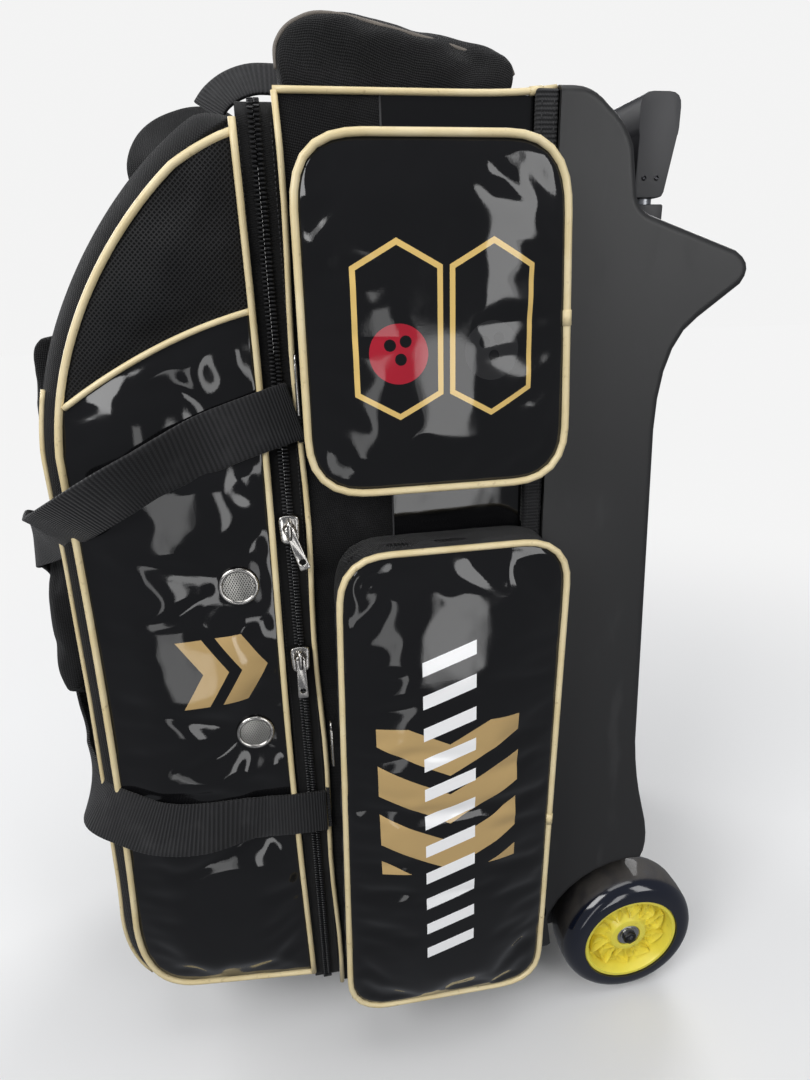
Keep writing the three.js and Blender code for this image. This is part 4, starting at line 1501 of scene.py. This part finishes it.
def makeFrontPocket():
    low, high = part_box("front_pocket")
    pad = workingCopy("front_pocket", "frontPocket")

    def onSide(a, b):
        isLong = abs(a.y - b.y) < mm and abs(abs(a.y) - high.y) < mm
        return isLong and min(a.x, b.x) < high.x - frontPocket["roundFrom"]

    chooseEdges(pad, onSide)
    bpy.ops.mesh.bevel(offset=frontPocket["round"], segments=4)
    done()
    remeshed(pad, frontPocket["voxel"])

    def held(spot):
        return 1.0 if spot.x > low.x + frontPocket["hem"] else 0.0

    inflate(pad, held, lambda spot: frontPocket["puff"], frontPocket["slack"])
    relaxed(pad, 3)
    finish(pad, look["nylon"], "nylon", "lid", "front_pocket")
    subdivided(pad)


haul = {
    "thick": 6.5 * mm, "swell": 0.2, "slump": 0.75, "y": -3 * mm, "centre": (38 * mm, 50 * mm),
    # part of the way to the front, and drop below the top
    "line": [(0, 21 * mm), (0.08, 17 * mm), (0.25, 16 * mm), (0.42, 18 * mm), (0.58, 22 * mm), (0.7, 28 * mm),
             (0.77, 36 * mm), (0.74, 43 * mm), (0.64, 43 * mm)],
}


def makeHaulLoop():
    # a padded loop that has slumped on to the slope of the lid, towards the near side
    low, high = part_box("haul_loop")
    reach = high.x - low.x
    points = [Vector((high.x - mm - reach * along, haul["y"], high.z - drop)) for along, drop in haul["line"]]
    centre = Vector((high.x - haul["centre"][0], 0, high.z - haul["centre"][1]))

    def facing(spot):
        return (spot - centre).normalized() + Vector((0, -haul["slump"], 0))

    def width(t):
        return (high.y - low.y) * (1 + haul["swell"] * math.sin(math.pi * t))

    loop = ribbon("haulLoop", points, facing, width, haul["thick"], 12)
    finish(loop, look["nylon"], "webbing", "lid", "haul_loop")


pads = {}


def makeLid():
    edge = lidEdge()
    for name, side in sides.items():
        pads[name] = makeLidSide(name, side, edge)
    makeLidFront(edge)
    makeFrontPocket()
    makeHaulLoop()
    print("lid made")


# ---- carry straps
strap = {
    "width": 38 * mm, "swell": 0.16, "thick": 2.6 * mm, "clear": 2.2 * mm, "off": 134 * mm, "flatPoints": 3,
    "upperLean": -0.55, "lowerLean": 0.45, "leanFrom": -122 * mm,
    "turnFrom": -215 * mm, "turn": (140 * mm, 62 * mm),
    # each leg starts with its height on the anchor, then gives places in X and Z
    "lower": [243 * mm, (-92 * mm, 243.5 * mm), (-122 * mm, 245.5 * mm), (-160 * mm, 253 * mm),
              (-190 * mm, 261 * mm), (-214 * mm, 269 * mm)],
    "upper": [562 * mm, (-88 * mm, 556 * mm), (-122 * mm, 545 * mm), (-155 * mm, 533 * mm),
              (-182 * mm, 520 * mm), (-208 * mm, 505 * mm)],
    # -1 is as far forward as the strap may go
    "front": [
        (-235 * mm, 131 * mm, 273 * mm), (-244 * mm, 108 * mm, 275 * mm), (-249 * mm, 84 * mm, 279 * mm),
        (-253 * mm, 60 * mm, 288 * mm), (-259 * mm, 40 * mm, 306 * mm), (-1, 26 * mm, 336 * mm),
        (-1, 21 * mm, 372 * mm), (-1, 21 * mm, 412 * mm), (-1, 30 * mm, 442 * mm),
        (-1, 50 * mm, 460 * mm), (-260 * mm, 71 * mm, 468 * mm),
        (-254 * mm, 88 * mm, 475 * mm), (-244 * mm, 104 * mm, 481 * mm), (-234 * mm, 121 * mm, 487 * mm),
        (-224 * mm, 136 * mm, 495 * mm),
    ],
}


def strapLeg(side, startX, line, lean):
    # one leg along the lid's side, held off the cloth beneath it; it leans out over its length
    pad = pads["left" if side < 0 else "right"]
    leg = []
    for i, (x, z) in enumerate([(startX, line[0])] + line[1:]):
        off = strap["off"]
        # it lies flat where it swings past the pockets
        if i >= strap["flatPoints"]:
            below = [abs(skin(pad, x, z + d, side, side * strap["off"])) for d in (-12 * mm, 0, 12 * mm)]
            off = max(off, *below) + strap["width"] / 2 * abs(lean) * min(1, (i - 2) / 2)
        leg.append(Vector((x, side * (off + strap["clear"]), z)))
    return leg


def strapPoints(side, startX):
    # from the lower anchor round the front and back to the upper anchor
    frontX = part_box("carry_strap_left")[0].x + strap["thick"] / 2
    lower = strapLeg(side, startX, strap["lower"], strap["lowerLean"])
    upper = strapLeg(side, startX, strap["upper"], strap["upperLean"])
    around = [Vector((max(x, frontX), side * y, z)) for x, y, z in strap["front"]]
    return lower + around + upper[::-1]


def strapFacing(side):
    # the belt faces outwards along the side and forwards across the front
    low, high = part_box("carry_strap_left")
    middle = (low.z + high.z) / 2

    def facing(spot):
        turnY, turnOver = strap["turn"]
        turn = max(0, min(1, (turnY - abs(spot.y)) / turnOver)) if spot.x < strap["turnFrom"] else 0
        away = max(0, min(1, (strap["leanFrom"] - spot.x) / (40 * mm)))
        lean = (strap["upperLean"] if spot.z > middle else strap["lowerLean"]) * away * (1 - turn)
        return Vector((-turn, side * (1 - turn) + side * 0.02, lean)).normalized()

    return facing


def strapWidth(t):
    return strap["width"] * (1 + strap["swell"] * math.sin(math.pi * t) ** 8)


def makeStraps():
    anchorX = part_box("strap_anchor_left")[0].x - 0.5 * mm
    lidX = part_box("carry_strap_right")[1].x - 0.5 * mm
    for name, side, start, owner in [("left", -1, anchorX, "strap_left"), ("right", 1, lidX, "lid")]:
        points = strapPoints(side, start)
        belt = ribbon("carryStrap_" + name, points, strapFacing(side), strapWidth, strap["thick"], 10, 7)
        finish(belt, look["strap"], "webbing", owner, "carry_strap_" + name)
    for name in sides:
        anchor = rounded(workingCopy("strap_anchor_" + name, "strapAnchor_" + name), 0.6 * mm, 2)
        finish(anchor, look["webbing"], "webbing", "bag", "strap_anchor_" + name)
    print("straps made")


# ---- wheels and axle
wheel = {
    "shoulder": 14 * mm, "dish": 9 * mm, "boss": 17 * mm, "bore": 11.3 * mm,
    "leaves": 10, "leafIn": 17 * mm, "leafOut": 38 * mm, "leafHalf": 5.6 * mm, "leafLean": 5.5 * mm,
    "leafRim": 1.5 * mm, "leafHeight": 7.5 * mm, "leafDepth": 5.5 * mm,
}


def tyreProfile(inner, radius, half):
    # flat sidewalls, round shoulders and a slightly crowned tread
    line = [(inner, -half)]
    side = wheel["shoulder"]
    for i in range(9):
        turn = math.pi / 2 * i / 8
        reach = radius - side + side * math.sin(turn) ** 0.9 - 0.4 * mm
        line.append((reach, -half + side - side * math.cos(turn)))
    line.append((radius, 0))
    line += [(r, -y) for r, y in reversed(line[:-1])]
    return line


def makeLeaf(centre, y, side):
    # a leaf-shaped cup on the hub's dish
    w = wheel
    outline = []
    for direction in (1, -1):
        for i in range(10):
            t = i / 10 if direction > 0 else 1 - i / 10
            r = w["leafIn"] + (w["leafOut"] - w["leafIn"]) * t
            lean = w["leafLean"] * math.sin(math.pi * t) - 3 * mm * t
            half = w["leafHalf"] * (math.sin(math.pi * t ** 1.35)) + 0.7 * mm
            outline.append((centre[0] + lean + direction * half, centre[2] + r))
    leaf = plate("leaf", outline, y, y + side * w["leafHeight"])
    chooseFaces(leaf, lambda face: face.normal.y * side > 0.9)
    bpy.ops.mesh.inset(thickness=w["leafRim"])
    bpy.ops.transform.translate(value=(0, -side * w["leafDepth"], 0))
    done()
    return leaf


def hubProfile(radius, rim):
    # (radius, along Y) of the hub's outer half: raised rim, dished web, boss and bore
    web = wheel["dish"]
    boss = wheel["boss"]
    bore = wheel["bore"]
    return [
        (radius, -rim), (radius, rim),
        (radius - 0.8 * mm, rim + 0.6 * mm), (radius - 3.4 * mm, rim + 0.6 * mm), (radius - 4.4 * mm, rim - 1 * mm),
        (radius - 6.5 * mm, web + 1 * mm), (radius - 9 * mm, web),
        (boss + 4 * mm, web + 3 * mm), (boss, rim - 4 * mm),
        (bore + 1.5 * mm, rim - 3 * mm), (bore, rim - 3.5 * mm),
    ]


def makeWheel(name, side):
    low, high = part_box("wheel_tyre_" + name)
    centre = ((low.x + high.x) / 2, (low.y + high.y) / 2, (low.z + high.z) / 2)
    radius = (high.x - low.x) / 2
    half = (high.y - low.y) / 2
    hubLow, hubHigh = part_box("wheel_hub_" + name)
    hubRadius = (hubHigh.x - hubLow.x) / 2
    spinning = "wheel_" + name
    tyre = turned("wheelTyre_" + name, tyreProfile(hubRadius + 0.2 * mm, radius, half), centre, 120)
    tyreLook = urethaneTyre("urethane_" + name, Vector(centre), radius, centre[1], half)
    finish(tyre, tyreLook, "tyre", spinning, "wheel_tyre_" + name)

    profile = hubProfile(hubRadius, (hubHigh.y - hubLow.y) / 2)
    hub = turned("hub", profile + [(r, -y) for r, y in reversed(profile)][:-1], centre, 96)
    there = Matrix.Translation(centre)
    turns = [Matrix.Rotation(math.tau * i / wheel["leaves"], 4, "Y") for i in range(wheel["leaves"])]
    leaves = []
    for face in (1, -1):
        unit = makeLeaf(centre, centre[1] + face * (wheel["dish"] - 1 * mm), face)
        leaves.append(repeated("leaves", unit, [there @ turn @ there.inverted() for turn in turns]))
    hub = joined("wheelHub_" + name, hub, *leaves)
    modify(hub, "BEVEL", width=0.5 * mm, segments=2, limit_method="ANGLE", angle_limit=math.radians(50))
    finish(smooth(hub, 35), look["hub"], "hub", spinning, "wheel_hub_" + name)

    for place in ("inner", "outer"):
        node = "bearing_" + place + "_" + name
        race = rounded(workingCopy(node, "bearing_" + place + "_" + name + "_race"), 0.6 * mm, 2, 40)
        finish(race, look["steel"], "steel", spinning, node)
    makeNut(name, side, centre)


# (radius, along Y) of the bolt's end and of the washer
nutCap = [(0.1 * mm, 0), (4 * mm, 0), (4 * mm, 0.8 * mm), (2.6 * mm, 1.9 * mm), (0.1 * mm, 2.3 * mm)]
nutWasher = [(4.4 * mm, 0), (8.6 * mm, 0), (8.6 * mm, 1 * mm), (4.4 * mm, 1 * mm)]


def makeNut(name, side, centre):
    node = "axle_nut_" + name
    low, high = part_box(node)
    nut = rounded(workingCopy(node, "axleNut_" + name), 0.7 * mm, 2)
    outerY = max(abs(low.y), abs(high.y)) - 0.4 * mm
    innerY = min(abs(low.y), abs(high.y)) + 0.1 * mm
    cap = turned("cap", [(r, side * y) for r, y in nutCap], (centre[0], side * outerY, centre[2]), 24)
    finish(joined("axleNut_" + name, nut, cap), look["darkMetal"], "steel", "bag", node)
    profile = [(r, side * y) for r, y in nutWasher]
    washer = turned("axleWasher_" + name, profile, (centre[0], side * innerY, centre[2]), 36)
    finish(washer, look["steel"], "steel", "bag")


def makeWheels():
    for name, side in sides.items():
        makeWheel(name, side)
    rod = smooth(workingCopy("axle", "wheelAxle"))
    finish(rod, look["steel"], "steel", "bag", "axle")
    print("wheels made")


# ---- pull handle
handle = {
    "lean": 4 * mm, "crown": 3 * mm, "leanOver": 20 * mm, "round": 4 * mm,
    "screw": 1.7 * mm, "screwSpots": [(-4 * mm, 12 * mm), (5 * mm, 12 * mm)],
}


def makeHandle():
    grip = workingCopy("handle_grip", "handleGrip")
    low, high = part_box("handle_grip")
    for vertex in grip.data.vertices:
        up = min(1, (vertex.co.z - low.z) / handle["leanOver"])
        vertex.co.x += handle["lean"] * up
        vertex.co.z += handle["crown"] * up
    rounded(grip, handle["round"], 4, 40)
    finish(grip, look["grip"], "grip", "handle", "handle_grip")
    r = handle["screw"]
    middle = 0.1 * mm
    head = [(middle, 0), (r, 0), (r, 0.5 * mm), (r * 0.7, 0.9 * mm), (r * 0.4, 0.3 * mm), (middle, 0.3 * mm)]
    heads = []
    for side in sides.values():
        for across, up in handle["screwSpots"]:
            centre = ((low.x + high.x) / 2 + across, side * (high.y - 0.2 * mm), low.z + up)
            heads.append(turned("screw", [(reach, side * out) for reach, out in head], centre, 16))
    finish(joined("gripScrews", *heads), look["darkMetal"], "steel", "handle")
    button = rounded(workingCopy("release_button", "releaseButton"), 1.6 * mm, 3)
    finish(button, look["tray"], "grip", "button", "release_button")
    for node, name, owner, paint, slotName in [
        ("handle_bridge", "handleBridge", "bag", "tray", "tray_plastic"),
        ("tube_clamp", "tubeClamp", "bag", "tray", "tray_plastic"),
        ("tube_collar_left", "tubeCollar_left", "bag", "grip", "tray_plastic"),
        ("tube_collar_right", "tubeCollar_right", "bag", "grip", "tray_plastic"),
    ]:
        finish(rounded(workingCopy(node, name), 1.4 * mm, 3, 50), look[paint], slotName, owner, node)
    for name in sides:
        pair = [("guide_tube_", "guideTube_", "bag"), ("slide_tube_", "slideTube_", "handle")]
        for node, newName, owner in pair:
            tube = smooth(workingCopy(node + name, newName + name))
            finish(tube, look["tube"], "tube", owner, node + name)
    print("handle made")


look = {}


def makeLooks():
    look["patent"] = patentVinyl("patentVinyl")
    look["upperPatent"] = patentVinyl("upperPatent", upperPrint)
    look["lowerPatent"] = patentVinyl("lowerPatent", lowerPrint)
    look["lidPatent"] = patentVinyl("lidPatent", lidPrint, 1.5)
    look["nylon"] = wovenNylon("wovenNylon")
    look["mesh"] = spacerMesh("airMesh")
    look["strap"] = ribbedWebbing("strapWebbing", True)
    look["webbing"] = ribbedWebbing("sewnWebbing", False)
    look["tape"] = wovenNylon("zipTape", 1.6, 0.8)
    look["thread"] = mouldedPlastic("stitchThread", (0.03, 0.03, 0.032), 0.6)
    look["piping"] = pipingVinyl()
    look["rimPiping"] = mouldedPlastic("rimPiping", (0.16, 0.14, 0.12), 0.5)
    look["tray"] = mouldedPlastic("trayPlastic", (0.021, 0.021, 0.0215), 0.4)
    look["grip"] = mouldedPlastic("gripPlastic", (0.021, 0.021, 0.024), 0.36)
    look["chain"] = mouldedPlastic("zipTeeth", (0.008, 0.008, 0.009), 0.26)
    look["nickel"] = platedMetal("nickelPlate", (0.62, 0.6, 0.57), 0.18)
    look["steel"] = platedMetal("chromedSteel", (0.7, 0.7, 0.7), 0.14)
    look["tube"] = platedMetal("handleTube", (0.35, 0.36, 0.38), 0.3)
    look["darkMetal"] = platedMetal("darkSteel", (0.06, 0.06, 0.065), 0.35)
    look["vent"] = punchedMetal()
    look["hub"] = yellowNylon()
    look["foam"] = cradleFoam()


makeCamera()
makeStudio()
makeLooks()
makeTray()
makeBody()
makeZip()
makePocketPulls()
makeLid()
makeStraps()
makeWheels()
makeHandle()
print("all pieces made")

bpy.context.view_layer.update()
